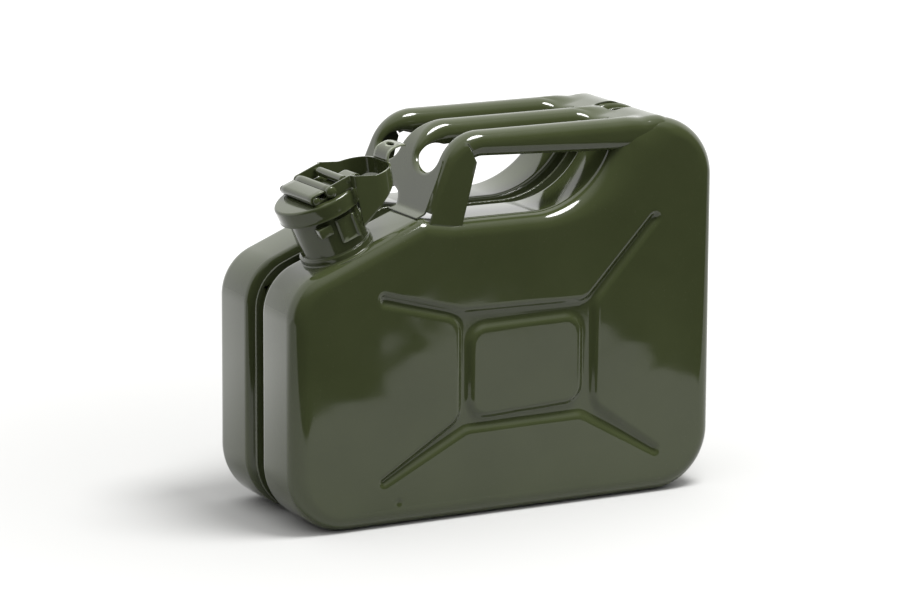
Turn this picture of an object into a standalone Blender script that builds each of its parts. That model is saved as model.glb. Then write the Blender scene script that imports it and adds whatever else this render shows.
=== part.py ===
"""A 10 litre pressed steel jerry can with three carrying bars and a cam lever closure, at its real size.

Metres, +Z up. The spout end is at -X, the photographed broad side at -Y, and the origin lies under the
middle of the can, on the surface it stands on.
"""

import math

import bmesh
import bpy
from mathutils import Matrix, Vector

for old in list(bpy.data.objects):
    bpy.data.objects.remove(old, do_unlink=True)

# Driving dimensions of the can
length = 0.345
width = 0.130
body_height = 0.280
sheet = 0.0010
fit_gap = 0.0003
overrun = 0.010

parts = bpy.data.collections.new("metal_jerry_can")
cutters = bpy.data.collections.new("cutters")
bpy.context.scene.collection.children.link(parts)
bpy.context.scene.collection.children.link(cutters)

# Paint and bare materials
paint_colour = (0.040, 0.046, 0.022, 1.0)
steel_colour = (0.32, 0.32, 0.31, 1.0)
rubber_colour = (0.012, 0.012, 0.012, 1.0)
FINISHES = {
    "paint": (paint_colour, 0.22, 0.0),
    "steel": (steel_colour, 0.35, 1.0),
    "rubber": (rubber_colour, 0.75, 0.0),
}


def give_material(obj, finish):
    colour, roughness, metallic = FINISHES[finish]
    material = bpy.data.materials.new(obj.name + "_" + finish)
    material.use_nodes = True
    shader = material.node_tree.nodes["Principled BSDF"]
    shader.inputs["Base Color"].default_value = colour
    shader.inputs["Roughness"].default_value = roughness
    shader.inputs["Metallic"].default_value = metallic
    material.diffuse_color = colour
    obj.data.materials.clear()
    obj.data.materials.append(material)


def add_object(name, mesh, collection, parent=None):
    obj = bpy.data.objects.new(name, mesh)
    collection.objects.link(obj)
    obj.parent = parent
    if collection == cutters:
        obj.hide_render = True
        obj.display_type = "WIRE"
    return obj


def add_part(name, mesh, finish="paint", parent=None):
    obj = add_object(name, mesh, parts, parent)
    give_material(obj, finish)
    return obj


def add_boolean(obj, other, operation="DIFFERENCE"):
    modifier = obj.modifiers.new(operation.lower(), "BOOLEAN")
    modifier.operation = operation
    modifier.object = other


def smooth_round_faces(obj, angle=math.radians(32)):
    obj.data.shade_smooth()
    obj.data.set_sharp_from_angle(angle=angle)


def mesh_from_bmesh(name, shape):
    bmesh.ops.recalc_face_normals(shape, faces=shape.faces)
    mesh = bpy.data.meshes.new(name)
    shape.to_mesh(mesh)
    shape.free()
    return mesh


def rounded_outline(corners, inset=0.0):
    """Points of a closed counter-clockwise outline with rounded corners, moved in by inset.

    Each corner is (x, z, radius, steps). Every outline made from as many corners with the same steps has
    as many points, so outlines can be lofted to each other.
    """
    count = len(corners)
    spots = [Vector(corner[:2]) for corner in corners]
    lines = []
    for i in range(count):
        along = (spots[(i + 1) % count] - spots[i]).normalized()
        inward = Vector((-along.y, along.x))
        lines.append((spots[i] + inward * inset, along))
    points = []
    for i, (_, _, radius, steps) in enumerate(corners):
        before, along_in = lines[i - 1]
        after, along_out = lines[i]
        turn = along_in.cross(along_out)
        corner = before + along_in * ((after - before).cross(along_out) / turn)
        reach = radius - inset if turn > 0 else radius + inset
        reach = max(reach, sheet / 10)
        half = math.atan2(turn, along_in.dot(along_out)) / 2
        start = corner - along_in * (reach * abs(math.tan(half)))
        side = Vector((-along_in.y, along_in.x)) * (reach if turn > 0 else -reach)
        centre = start + side
        for step in range(steps + 1):
            turned = Matrix.Rotation(2 * half * step / steps, 2) @ (start - centre)
            points.append(centre + turned)
    return points


def loft(name, rings):
    """A closed mesh through rings of equally many points, each end closed with one face."""
    shape = bmesh.new()
    made = [[shape.verts.new(point) for point in ring] for ring in rings]
    count = len(rings[0])
    for low, high in zip(made, made[1:]):
        for i in range(count):
            shape.faces.new((low[i], low[(i + 1) % count], high[(i + 1) % count], high[i]))
    shape.faces.new(made[0][::-1])
    shape.faces.new(made[-1])
    return mesh_from_bmesh(name, shape)


def evaluated_mesh(name, data, modify=None):
    """The mesh that a curve, or a profile with a modifier, makes, with its doubles welded."""
    obj = bpy.data.objects.new(name, data)
    cutters.objects.link(obj)
    if modify:
        modify(obj)
    graph = bpy.context.evaluated_depsgraph_get()
    mesh = bpy.data.meshes.new_from_object(obj.evaluated_get(graph))
    bpy.data.objects.remove(obj)
    shape = bmesh.new()
    shape.from_mesh(mesh)
    bpy.data.meshes.remove(mesh)
    bmesh.ops.remove_doubles(shape, verts=shape.verts, dist=sheet / 100)
    return mesh_from_bmesh(name, shape)


def poly_curve(name, points, cyclic):
    """A curve of straight stretches through 3D points."""
    curve = bpy.data.curves.new(name, "CURVE")
    spline = curve.splines.new("POLY")
    spline.points.add(len(points) - 1)
    for spot, point in zip(spline.points, points):
        spot.co = (*point, 1.0)
    spline.use_cyclic_u = cyclic
    return curve


# Where a flat outline's own axes go when it is extruded along X, Y or Z
EXTRUDE_TURNS = {
    "X": Matrix(((0, 0, 1), (1, 0, 0), (0, 1, 0))),
    "Y": Matrix(((1, 0, 0), (0, 0, -1), (0, 1, 0))),
    "Z": Matrix.Identity(3),
}


def prism(name, outline, axis, low, high):
    """A closed flat outline of 2D points, extruded along one axis from low to high."""
    curve = poly_curve(name, [(p[0], p[1], 0.0) for p in outline], True)
    curve.dimensions = "2D"
    curve.fill_mode = "BOTH"
    curve.extrude = (high - low) / 2
    mesh = evaluated_mesh(name, curve)
    mesh.transform(EXTRUDE_TURNS[axis].to_4x4())
    along = Vector((axis == "X", axis == "Y", axis == "Z"))
    mesh.transform(Matrix.Translation(along * (low + high) / 2))
    return mesh


def lean_mesh(mesh, slope, level):
    """Shear a mesh along X in proportion to its height over a level that stays where it is."""
    lift = Matrix.Translation((0.0, 0.0, level))
    mesh.transform(lift @ Matrix.Shear("XY", 4, (slope, 0.0)) @ lift.inverted())
    return mesh


def ribbon(path, thickness):
    """The closed outline of a strip of sheet that follows a path of 2D points."""
    left = []
    right = []
    for i, point in enumerate(path):
        before = path[max(i - 1, 0)]
        after = path[min(i + 1, len(path) - 1)]
        along_in = (point - before) if i else (after - point)
        along_out = (after - point) if i < len(path) - 1 else (point - before)
        along_in = along_in.normalized()
        along_out = along_out.normalized()
        normal = Vector((-along_in.y - along_out.y, along_in.x + along_out.x)).normalized()
        stretch = 1 / normal.dot(Vector((-along_in.y, along_in.x)))
        left.append(point + normal * (thickness / 2 * stretch))
        right.append(point - normal * (thickness / 2 * stretch))
    return left + right[::-1]


def arc(centre, radius, start, end, steps):
    """Points on a circle from one angle to another, in degrees."""
    points = []
    for step in range(steps + 1):
        angle = math.radians(start + (end - start) * step / steps)
        points.append(Vector(centre) + Vector((math.cos(angle), math.sin(angle))) * radius)
    return points


def tube_mesh(name, path, radius, roundness=4, cyclic=False):
    """A round bar along a path of 3D points."""
    curve = poly_curve(name, path, cyclic)
    curve.dimensions = "3D"
    curve.bevel_depth = radius
    curve.bevel_resolution = roundness
    curve.use_fill_caps = True
    return evaluated_mesh(name, curve)


def turned_mesh(name, profile, steps, closed=True):
    """A profile of (radius, height) points, run from the top down its outer side, turned round Z."""
    mesh = bpy.data.meshes.new(name)
    count = len(profile)
    edges = [(i, (i + 1) % count) for i in range(count if closed else count - 1)]
    mesh.from_pydata([(radius, 0.0, height) for radius, height in profile], edges, [])

    def turn(obj):
        screw = obj.modifiers.new("turned", "SCREW")
        screw.steps = steps
        screw.render_steps = steps
        screw.use_merge_vertices = True
        screw.merge_threshold = sheet / 100

    return evaluated_mesh(name, mesh, turn)


# How a riveted pin's head is domed: shares of its radius and height
DOME_SHARES = [(0.0, 1.0), (0.35, 1.0), (0.80, 0.75), (1.0, 0.0)]
pin_steps = 12
turned_steps = 28
bore_steps = 16


def pin_mesh(name, radius, reach, head_radius=0.0, head_height=0.0):
    """A pin along Y to both sides of the middle, with domed heads beyond its reach."""
    if head_radius:
        head = [(r * head_radius, reach + h * head_height) for r, h in DOME_SHARES] + [(radius, reach)]
    else:
        head = [(0.0, reach), (radius, reach)]
    profile = head + [(r, -h) for r, h in head[::-1]]
    mesh = turned_mesh(name, profile, pin_steps, closed=False)
    mesh.transform(Matrix.Rotation(math.pi / 2, 4, "X"))
    return mesh


def bore_mesh(name, radius, low, high, axis="Y", steps=bore_steps):
    """A round cutter along an axis whose flat sides, not its corners, lie at the radius."""
    shape = bmesh.new()
    reach = radius / math.cos(math.pi / steps)
    bmesh.ops.create_cone(
        shape,
        cap_ends=True,
        segments=steps,
        radius1=reach,
        radius2=reach,
        depth=high - low,
        matrix=Matrix.Translation((0.0, 0.0, (low + high) / 2)),
    )
    mesh = mesh_from_bmesh(name, shape)
    if axis == "Y":
        mesh.transform(Matrix.Rotation(-math.pi / 2, 4, "X"))
    return mesh


# Side outline of the pressed halves, front bottom corner first and counter-clockwise as seen from -Y
bottom_radius = 0.045
rear_top_radius = 0.046
front_radius = 0.037
bay_radius = 0.068
crown_radius = 0.040
crest_radius = 0.014
shoulder_tilt = math.radians(22.3)
soft_corner_radius = 0.020
rim_radius = 0.0100

# The handle bay and the crest of the shoulder, from the can's ends and its top
bay_depth = 0.0610
bay_front_reach = 0.1265
bay_rear_reach = 0.0963
bay_rim_reach = 0.0802
bay_rim_drop = 0.0065
crown_reach = 0.0510
crest_reach = 0.1045
crest_drop = 0.0575

half_length = length / 2
bay_front = bay_front_reach - half_length
bay_rear = half_length - bay_rear_reach
bay_rim = half_length - bay_rim_reach
bay_floor_height = body_height - bay_depth
bay_rim_height = body_height - bay_rim_drop
crown_start = half_length - crown_reach
crest_place = crest_reach - half_length
crest_height = body_height - crest_drop
front_corner_height = crest_height - math.tan(shoulder_tilt) * (crest_place + half_length)
band_corners = [
    (-half_length, 0.0, bottom_radius, 7),
    (half_length, 0.0, bottom_radius, 7),
    (half_length, body_height, rear_top_radius, 8),
    (crown_start, body_height, crown_radius, 3),
    (bay_rim, bay_rim_height, rim_radius, 5),
    (bay_rear, bay_floor_height, bay_radius, 10),
    (bay_front, bay_floor_height, soft_corner_radius, 3),
    (crest_place, crest_height, crest_radius, 5),
    (-half_length, front_corner_height, front_radius, 6),
]

# Edge of the flat broad side: the rounding widens up the rear of the handle bay, where the outer bars land
edge_radius = 0.012
edge_depth = 0.013
scoop_top_reach = 0.0343
scoop_top_drop = 0.0141
scoop_middle_reach = 0.0475
scoop_middle_drop = 0.0288
scoop_foot_reach = 0.0966
scoop_top = half_length - scoop_top_reach
scoop_top_height = body_height - scoop_top_drop
scoop_middle = half_length - scoop_middle_reach
scoop_middle_height = body_height - scoop_middle_drop
scoop_foot = half_length - scoop_foot_reach
scoop_radius = 0.130
scoop_bend_radius = 0.060
scoop_top_radius = 0.004
rear_edge_radius = 0.031
rear_slope = math.radians(22.4)

rim_arc_height = scoop_top_height + math.tan(rear_slope) * (scoop_top - half_length + edge_radius)


def side_corners():
    """Corners of the broad side's edge, one for each corner of the band."""
    inner = rounded_corner_spots(band_corners, edge_radius)
    corners = []
    for (x, z), (_, _, radius, steps) in zip(inner, band_corners):
        corners.append([x, z, radius - edge_radius, steps])
    corners[2][1:3] = [rim_arc_height, rear_edge_radius]
    corners[3][:3] = [scoop_top, scoop_top_height, scoop_top_radius]
    corners[4][:3] = [scoop_middle, scoop_middle_height, scoop_bend_radius]
    corners[5][0] = scoop_foot
    corners[5][2] = scoop_radius
    corners[6][2] = soft_corner_radius + edge_radius
    return [tuple(corner) for corner in corners]


def rounded_corner_spots(corners, inset):
    """The corners' own places after the outline has moved in by inset."""
    sharp = [(x, z, 0.0, 1) for x, z, _, _ in corners]
    points = rounded_outline(sharp, inset)
    return [((a.x + b.x) / 2, (a.y + b.y) / 2) for a, b in zip(points[::2], points[1::2])]


# Recessed seam between the halves: a rounded groove with the two flanges standing up in it
groove_half_width = 0.0140
groove_floor_half_width = 0.0085
groove_depth = 0.0085
flange_depth = 0.0024
groove_steps = 3
edge_steps = 4


def half_rings(side, wall, far_face):
    """Rings of one half from the seam outwards: its outer surface with wall 0, its hollow with wall sheet."""
    rows = []
    if wall:
        rows.append((-2 * wall, groove_depth + wall))
        rows.append((groove_floor_half_width + wall / 2, groove_depth + wall))
    else:
        rows.append((fit_gap / 2, flange_depth))
        rows.append((fit_gap / 2 + sheet, flange_depth))
        rows.append((fit_gap / 2 + sheet, groove_depth))
        rows.append((groove_floor_half_width, groove_depth))
    for step in range(1, groove_steps + 1):
        share = step / groove_steps
        across = groove_floor_half_width + (groove_half_width - groove_floor_half_width) * share
        down = groove_depth * (1 + math.cos(math.pi * share)) / 2
        rows.append((across + wall / 2, down + wall))
    rings = []
    for across, down in rows:
        rings.append([Vector((p.x, side * across, p.y)) for p in rounded_outline(band_corners, down)])
    band = rounded_outline(band_corners, wall)
    edge = rounded_outline(side_corners())
    band_edge = width / 2 - edge_depth
    for step in range(edge_steps + 1):
        angle = math.pi / 2 * step / edge_steps
        across = band_edge + (far_face - band_edge) * math.sin(angle)
        ring = [b + (e - b) * (1 - math.cos(angle)) for b, e in zip(band, edge)]
        rings.append([Vector((p.x, side * across, p.y)) for p in ring])
    return rings


# Pressed cross of channels round a square centre panel, as shares of the length and the body height
channel_depth = 0.0040
channel_draft = 0.0030
channel_corner_radius = 0.0038
panel_corner_radius = 0.0090
cross_outline_shares = [
    (-0.316, 0.089),
    (-0.096, 0.225),
    (0.174, 0.229),
    (0.371, 0.089),
    (0.371, 0.129),
    (0.215, 0.271),
    (0.215, 0.529),
    (0.374, 0.743),
    (0.348, 0.768),
    (0.183, 0.554),
    (-0.104, 0.557),
    (-0.307, 0.625),
    (-0.307, 0.579),
    (-0.125, 0.521),
    (-0.125, 0.275),
    (-0.307, 0.136),
]
panel_outline_shares = [(-0.081, 0.279), (0.165, 0.286), (0.165, 0.493), (-0.081, 0.489)]


def share_corners(shares, radius, steps):
    return [(x * length, z * body_height, radius, steps) for x, z in shares]


def pressed_cross(name, side, wall):
    """A cutter the shape of the pressed channels, grown by the wall for the inside of the sheet."""
    top = side * (width / 2 + overrun)
    floor = side * (width / 2 - channel_depth - wall)
    face_share = overrun / (overrun + channel_depth)
    grown = channel_draft * face_share / (1 - face_share)
    corners = share_corners(cross_outline_shares, channel_corner_radius, 3)
    wide = [Vector((p.x, top, p.y)) for p in rounded_outline(corners, -wall - grown)]
    narrow = [Vector((p.x, floor, p.y)) for p in rounded_outline(corners, channel_draft - wall)]
    cross = add_object(name, loft(name, [wide, narrow]), cutters)
    panel = share_corners(panel_outline_shares, panel_corner_radius, 4)
    outer = [Vector((p.x, top, p.y)) for p in rounded_outline(panel, wall + grown)]
    inner = [
        Vector((p.x, floor - side * overrun, p.y)) for p in rounded_outline(panel, wall - channel_draft - grown)
    ]
    island = add_object(name + "_panel", loft(name + "_panel", [outer, inner]), cutters)
    add_boolean(cross, island)
    return cross


def make_half(name, side):
    outside = loft(name, half_rings(side, 0.0, width / 2))
    half = add_part(name, outside)
    inside = loft(name + "_hollow", half_rings(side, sheet, width / 2 - sheet))
    hollow = add_object(name + "_hollow", inside, cutters)
    add_boolean(half, pressed_cross(name + "_channels", side, 0.0))
    add_boolean(hollow, pressed_cross(name + "_channels_inside", side, sheet))
    add_boolean(half, hollow)
    smooth_round_faces(half)
    return half


near_shell = make_half("near_shell", -1)
far_shell = make_half("far_shell", 1)


def grown_body(name, gap):
    """The outside of both halves as one solid, grown by a gap, to seat other pieces on it."""
    band = rounded_outline(band_corners, -gap)
    edge = rounded_outline(side_corners(), 0.0)
    band_edge = width / 2 - edge_depth
    rings = []
    for side in (-1, 1):
        half = []
        for step in range(edge_steps + 1):
            angle = math.pi / 2 * step / edge_steps
            across = band_edge + (edge_depth + gap) * math.sin(angle)
            ring = [b + (e - b) * (1 - math.cos(angle)) for b, e in zip(band, edge)]
            half.append([Vector((p.x, side * across, p.y)) for p in ring])
        rings += half[::-1] if side < 0 else half
    return add_object(name, loft(name, rings), cutters)


body_seat = grown_body("body_seat", fit_gap)

# Weld bead along the crest of the two flanges
bead_radius = 0.0009
bead_depth = flange_depth - fit_gap - bead_radius
bead_path = [Vector((p.x, 0.0, p.y)) for p in rounded_outline(band_corners, bead_depth)]
seam_bead = add_part("seam_weld_bead", tube_mesh("seam_weld_bead", bead_path, bead_radius, 1, cyclic=True))
smooth_round_faces(seam_bead)

# Three rolled carrying bars, open along their underside, and the folded plate that holds their front ends
bar_radius = 0.0100
bar_wall = 0.0012
bar_slot_radius = 0.0035
bar_spacing = 0.0515
bar_drop = 0.0085
bar_height = body_height - bar_drop
bar_bend_radius = 0.0230
bracket_lean = math.radians(22)
bracket_foot_reach = 0.0025
bracket_top_drop = 0.0195
bracket_foot = crest_place + bracket_foot_reach
bracket_top_height = bar_height - bracket_top_drop
saddle_reach = 0.0740
saddle_start = half_length - saddle_reach
bend_steps = 6


def on_bracket(height):
    """Where the front face of the plate lies at a height."""
    return bracket_foot + (height - crest_height) * math.tan(bracket_lean)


def bar_path(offset, front, rear):
    """The bar's middle line moved to its inner side by offset, from the plate up and back to the saddle."""
    radius = bar_bend_radius - offset
    lean = Vector((math.sin(bracket_lean), math.cos(bracket_lean)))
    normal = Vector((lean.y, -lean.x))
    foot = Vector((on_bracket(bracket_top_height), bracket_top_height)) + normal * bar_radius
    rise = (bar_height - bar_bend_radius - foot.y + bar_bend_radius * math.sin(bracket_lean)) / lean.y
    centre = foot + lean * rise + normal * bar_bend_radius
    points = [foot - lean * front + normal * offset]
    start = 180 - math.degrees(bracket_lean)
    points += arc(centre, radius, start, 90, bend_steps)
    points.append(Vector((rear, bar_height - offset)))
    return points


def make_bar(name, y):
    rear = saddle_start - fit_gap
    path = [Vector((p.x, y, p.y)) for p in bar_path(0.0, 0.0, rear)]
    bar = add_part(name, tube_mesh(name, path, bar_radius))
    hollow_path = [Vector((p.x, y, p.y)) for p in bar_path(0.0, overrun, rear + overrun)]
    hollow = add_object(name + "_bore", tube_mesh(name + "_bore", hollow_path, bar_radius - bar_wall), cutters)
    slot_path = [Vector((p.x, y, p.y)) for p in bar_path(bar_radius, overrun, rear + overrun)]
    slot = add_object(name + "_slot", tube_mesh(name + "_slot", slot_path, bar_slot_radius, 2), cutters)
    add_boolean(bar, hollow)
    add_boolean(bar, slot)
    add_boolean(bar, body_seat)
    smooth_round_faces(bar)
    return bar


bar_places = {"handle_bar_near": -bar_spacing, "handle_bar_middle": 0.0, "handle_bar_far": bar_spacing}
for bar_name, bar_y in bar_places.items():
    make_bar(bar_name, bar_y)

# Folded front plate: web, two side flanges, three tongues under the bars, a foot lip and an arch over the seam
bracket_sheet = 0.0014
bracket_half_width = bar_spacing + bar_radius + fit_gap + bracket_sheet
bracket_fold_radius = 0.0060
flange_reach = 0.0300
window_half_width = 0.0155
window_depth = 0.0040
window_floor_height = bracket_top_height - window_depth
window_radius = 0.0080
top_cut_half_width = 0.0580
arch_half_width = 0.0120
arch_height = 0.0130
lip_reach = 0.0060
flange_outline_drops = [0.080, 0.068, 0.046, 0.018, 0.0075, 0.010]
flange_outline_depths = [0.0330, 0.0327, 0.0309, 0.0245, 0.0131, -0.010]


def bracket_point(depth, height):
    """A point behind the front face of the plate by a depth along X."""
    return Vector((on_bracket(height) + depth, height))


def folded_plate(low, high):
    """The plate with its two side flanges: a U in plan, drawn up along the lean of the bars' front ends."""
    inner = bracket_half_width - bracket_sheet / 2
    middle = bracket_fold_radius + bracket_sheet / 2
    path = [Vector((flange_reach + overrun, -inner))]
    path += arc((middle, -inner + bracket_fold_radius), bracket_fold_radius, 270, 180, 4)
    path += arc((middle, inner - bracket_fold_radius), bracket_fold_radius, 180, 90, 4)
    path.append(Vector((flange_reach + overrun, inner)))
    mesh = prism("front_bracket", ribbon(path, bracket_sheet), "Z", low, high)
    lean_mesh(mesh, math.tan(bracket_lean), crest_height)
    mesh.transform(Matrix.Translation((bracket_foot, 0.0, 0.0)))
    return mesh


def make_bracket():
    low = bay_floor_height - edge_depth - edge_radius
    plate = add_part("front_bracket", folded_plate(low, bar_height))
    outline = [bracket_point(-overrun, low - overrun)]
    outline += [bracket_point(d, body_height - h) for d, h in zip(flange_outline_depths, flange_outline_drops)]
    side = add_object("bracket_side", prism("bracket_side", outline, "Y", -width, width), cutters)
    add_boolean(plate, side, "INTERSECT")
    lean = Vector((math.sin(bracket_lean), math.cos(bracket_lean)))
    normal = Vector((lean.y, -lean.x))
    top = bracket_point(0.0, bracket_top_height - fit_gap) - normal * overrun
    square = [top, top + normal * body_height, top + (normal + lean) * body_height, top + lean * body_height]
    top_cut = prism("bracket_top", square, "Y", -top_cut_half_width, top_cut_half_width)
    add_boolean(plate, add_object("bracket_top", top_cut, cutters))
    lip = add_object("bracket_lip", lip_mesh(), cutters)
    add_boolean(plate, lip, "UNION")
    for index, y in enumerate((-bar_spacing / 2, bar_spacing / 2)):
        window = [
            (y - window_half_width, window_floor_height, window_radius, 4),
            (y + window_half_width, window_floor_height, window_radius, 4),
            (y + window_half_width, body_height, window_radius, 1),
            (y - window_half_width, body_height, window_radius, 1),
        ]
        add_boolean(plate, plate_cutter("bracket_window_%d" % index, rounded_outline(window)))
    arch = [Vector((-arch_half_width, low)), Vector((arch_half_width, low))]
    arch += arc((0.0, crest_height + arch_height - arch_half_width), arch_half_width, 0, 180, 8)
    add_boolean(plate, plate_cutter("bracket_arch", arch))
    add_boolean(plate, body_seat)
    smooth_round_faces(plate)
    return plate


def lip_mesh():
    """The foot of the plate, turned forward to lie on the shoulder."""
    slope = math.tan(shoulder_tilt)
    front = on_bracket(crest_height) - lip_reach
    rear = on_bracket(crest_height) + bracket_sheet
    base = front_corner_height + slope * half_length
    low = [(x, base + slope * x - lip_reach) for x in (front, rear)]
    top = [(x, base + slope * x + bracket_sheet) for x in (rear, front)]
    reach = width / 2 - edge_depth
    return prism("bracket_lip", low + top, "Y", -reach, reach)


def plate_cutter(name, outline):
    """A cutter of (y, z) points that goes through the plate along X."""
    mesh = prism(name, outline, "X", bracket_foot - overrun, bracket_foot + flange_reach + overrun)
    return add_object(name, mesh, cutters)


make_bracket()

# Saddle that ends the three bars over the rear of the bay: three ridges that fade in one pressed sheet.
# Between the bars its front edge is hollowed, and behind the middle bar it is cut away over the seam.
saddle_end_reach = 0.0305
saddle_end = half_length - saddle_end_reach
saddle_sheet = 0.0012
saddle_sink = 0.0140
saddle_stations = 8
ridge_steps = 6
ridge_underside = math.radians(50)
underside_steps = 2
front_hollow_radius = 0.0250
front_hollow_depth = 0.0040
rear_notch_half_width = 0.0135
rear_notch_reach = 0.0280
rear_notch_front = saddle_end - rear_notch_reach
rear_notch_radius = 0.0050


def band_top(x):
    """Height of the body's band above the rear of the bay."""
    outline = rounded_outline(band_corners)
    best = bay_floor_height
    for a, b in zip(outline, outline[1:] + outline[:1]):
        low, high = sorted((a.x, b.x))
        if low <= x <= high and high > low:
            share = (x - a.x) / (b.x - a.x)
            best = max(best, a.y + (b.y - a.y) * share)
    return best


def ridge_axis(x):
    """Height of the ridges' middle line, which sinks behind the ends of the bars."""
    share = (x - saddle_start) / (saddle_end - saddle_start)
    return bar_height - saddle_sink * share * share


def saddle_section(x):
    """The saddle's upper side across the can: round outer sides, three ridges and the sheet between them."""
    rest = band_top(x) + fit_gap + saddle_sheet
    under = []
    for step in range(underside_steps):
        angle = -ridge_underside * (1 - step / underside_steps)
        under.append((bar_spacing + bar_radius * math.cos(angle), bar_radius * math.sin(angle)))
    points = [Vector((x, -y, ridge_axis(x) + up)) for y, up in under]
    for place in bar_places.values():
        for step in range(2 * ridge_steps + 1):
            angle = math.pi * step / (2 * ridge_steps)
            y = place - bar_radius * math.cos(angle)
            ridge = ridge_axis(x) + bar_radius * math.sin(angle)
            points.append(Vector((x, y, ridge if abs(y) > bar_spacing else max(ridge, rest))))
    return points + [Vector((x, y, ridge_axis(x) + up)) for y, up in under[::-1]]


def make_saddle():
    pitch = (saddle_end - saddle_start) / saddle_stations
    stations = [saddle_start + pitch * i for i in range(saddle_stations + 1)]
    saddle = add_part("rear_saddle", loft("rear_saddle", [saddle_section(x) for x in stations]))
    for index, y in enumerate(bar_places.values()):
        path = [Vector((saddle_start - overrun, y, bar_height))]
        path += [Vector((x, y, ridge_axis(x))) for x in stations[::2]]
        name = "saddle_bore_%d" % index
        add_boolean(saddle, add_object(name, tube_mesh(name, path, bar_radius - saddle_sheet), cutters))
    add_boolean(saddle, body_seat)
    for index, y in enumerate((-bar_spacing / 2, bar_spacing / 2)):
        name = "saddle_hollow_%d" % index
        hollow_mesh = bore_mesh(name, front_hollow_radius, bay_floor_height, length, "Z", turned_steps)
        hollow = add_object(name, hollow_mesh, cutters)
        hollow.location = (saddle_start + front_hollow_depth - front_hollow_radius, y, 0.0)
        add_boolean(saddle, hollow)
    notch = [
        (rear_notch_front, -rear_notch_half_width, rear_notch_radius, 4),
        (half_length, -rear_notch_half_width, rear_notch_radius, 1),
        (half_length, rear_notch_half_width, rear_notch_radius, 1),
        (rear_notch_front, rear_notch_half_width, rear_notch_radius, 4),
    ]
    notch_mesh = prism("saddle_notch", rounded_outline(notch), "Z", bay_floor_height, length)
    add_boolean(saddle, add_object("saddle_notch", notch_mesh, cutters))
    smooth_round_faces(saddle)
    return saddle


make_saddle()

# Closure frame: its origin is the middle of the filler hole on the shoulder, its Z the neck's axis
closure_reach = 0.0505
closure_x = closure_reach - half_length
closure_y = -0.0310
closure_z = crest_height + math.tan(shoulder_tilt) * (closure_x - crest_place)
closure = bpy.data.objects.new("closure_frame", None)
parts.objects.link(closure)
closure.location = (closure_x, closure_y, closure_z)
closure.rotation_euler = (0.0, -shoulder_tilt, 0.0)


def closure_part(name, mesh, place=(0.0, 0.0), finish="paint"):
    """A piece of the closure, with its origin at a place (along the shoulder, up the neck)."""
    obj = add_part(name, mesh, finish, closure)
    obj.location = (place[0], 0.0, place[1])
    return obj


def closure_cutter(name, mesh, place=(0.0, 0.0)):
    obj = add_object(name, mesh, cutters, closure)
    obj.location = (place[0], 0.0, place[1])
    return obj


# Filler neck: a drawn tube with a rolled mouth, set through the near half and down past the seam groove
neck_radius = 0.0250
neck_wall = 0.0014
neck_depth = 0.0135
neck_height = 0.0410
mouth_bead = 0.0011
mouth_bead_height = 0.0030
neck_bore = neck_radius - neck_wall
neck_profile = [
    (neck_radius, neck_height),
    (neck_radius + mouth_bead, neck_height - mouth_bead),
    (neck_radius + mouth_bead, neck_height - mouth_bead_height),
    (neck_radius, neck_height - mouth_bead_height - mouth_bead),
    (neck_radius, -neck_depth),
    (neck_bore, -neck_depth),
    (neck_bore, neck_height),
]
neck = closure_part("filler_neck", turned_mesh("filler_neck", neck_profile, turned_steps))
smooth_round_faces(neck)
hole_mesh = bore_mesh("filler_hole", neck_radius + fit_gap, -neck_depth - overrun, overrun, "Z", turned_steps)
add_boolean(near_shell, closure_cutter("filler_hole", hole_mesh))

# Collar: the pressed ring that the neck is brazed into, lying on the shoulder
collar_radius = 0.0275
collar_height = 0.0050
collar_edge = 0.0016
collar_profile = [
    (neck_radius + fit_gap, collar_height),
    (collar_radius - collar_edge, collar_height),
    (collar_radius, collar_height - collar_edge),
    (collar_radius, -groove_depth),
    (neck_radius + fit_gap, -groove_depth),
]
collar = closure_part("neck_collar", turned_mesh("neck_collar", collar_profile, turned_steps))
add_boolean(collar, body_seat)
smooth_round_faces(collar)

# Breather tube: lets air back in along the rear wall of the neck while the can pours
breather_radius = 0.0035
breather_wall = 0.0007
breather_top = 0.0360
breather_reach = 0.0560
breather_bend_radius = 0.0120
breather_depth = neck_depth + breather_bend_radius
breather_place = neck_bore - fit_gap - breather_radius
breather_front = breather_place + breather_bend_radius
breather_line = [Vector((breather_place, breather_top))]
breather_line += arc((breather_front, breather_bend_radius - breather_depth), breather_bend_radius, 180, 270, 5)
breather_line.append(Vector((breather_reach, -breather_depth)))
bore_line = [Vector((breather_place, breather_top + overrun))] + breather_line[1:-1]
bore_line.append(Vector((breather_reach + overrun, -breather_depth)))
breather_path, bore_path = ([Vector((p.x, 0.0, p.y)) for p in line] for line in (breather_line, bore_line))
breather_mesh = tube_mesh("breather_tube", breather_path, breather_radius, 2)
breather = closure_part("breather_tube", breather_mesh, finish="steel")
breather_bore = tube_mesh("breather_bore", bore_path, breather_radius - breather_wall, 2)
add_boolean(breather, closure_cutter("breather_bore", breather_bore))
smooth_round_faces(breather)

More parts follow.
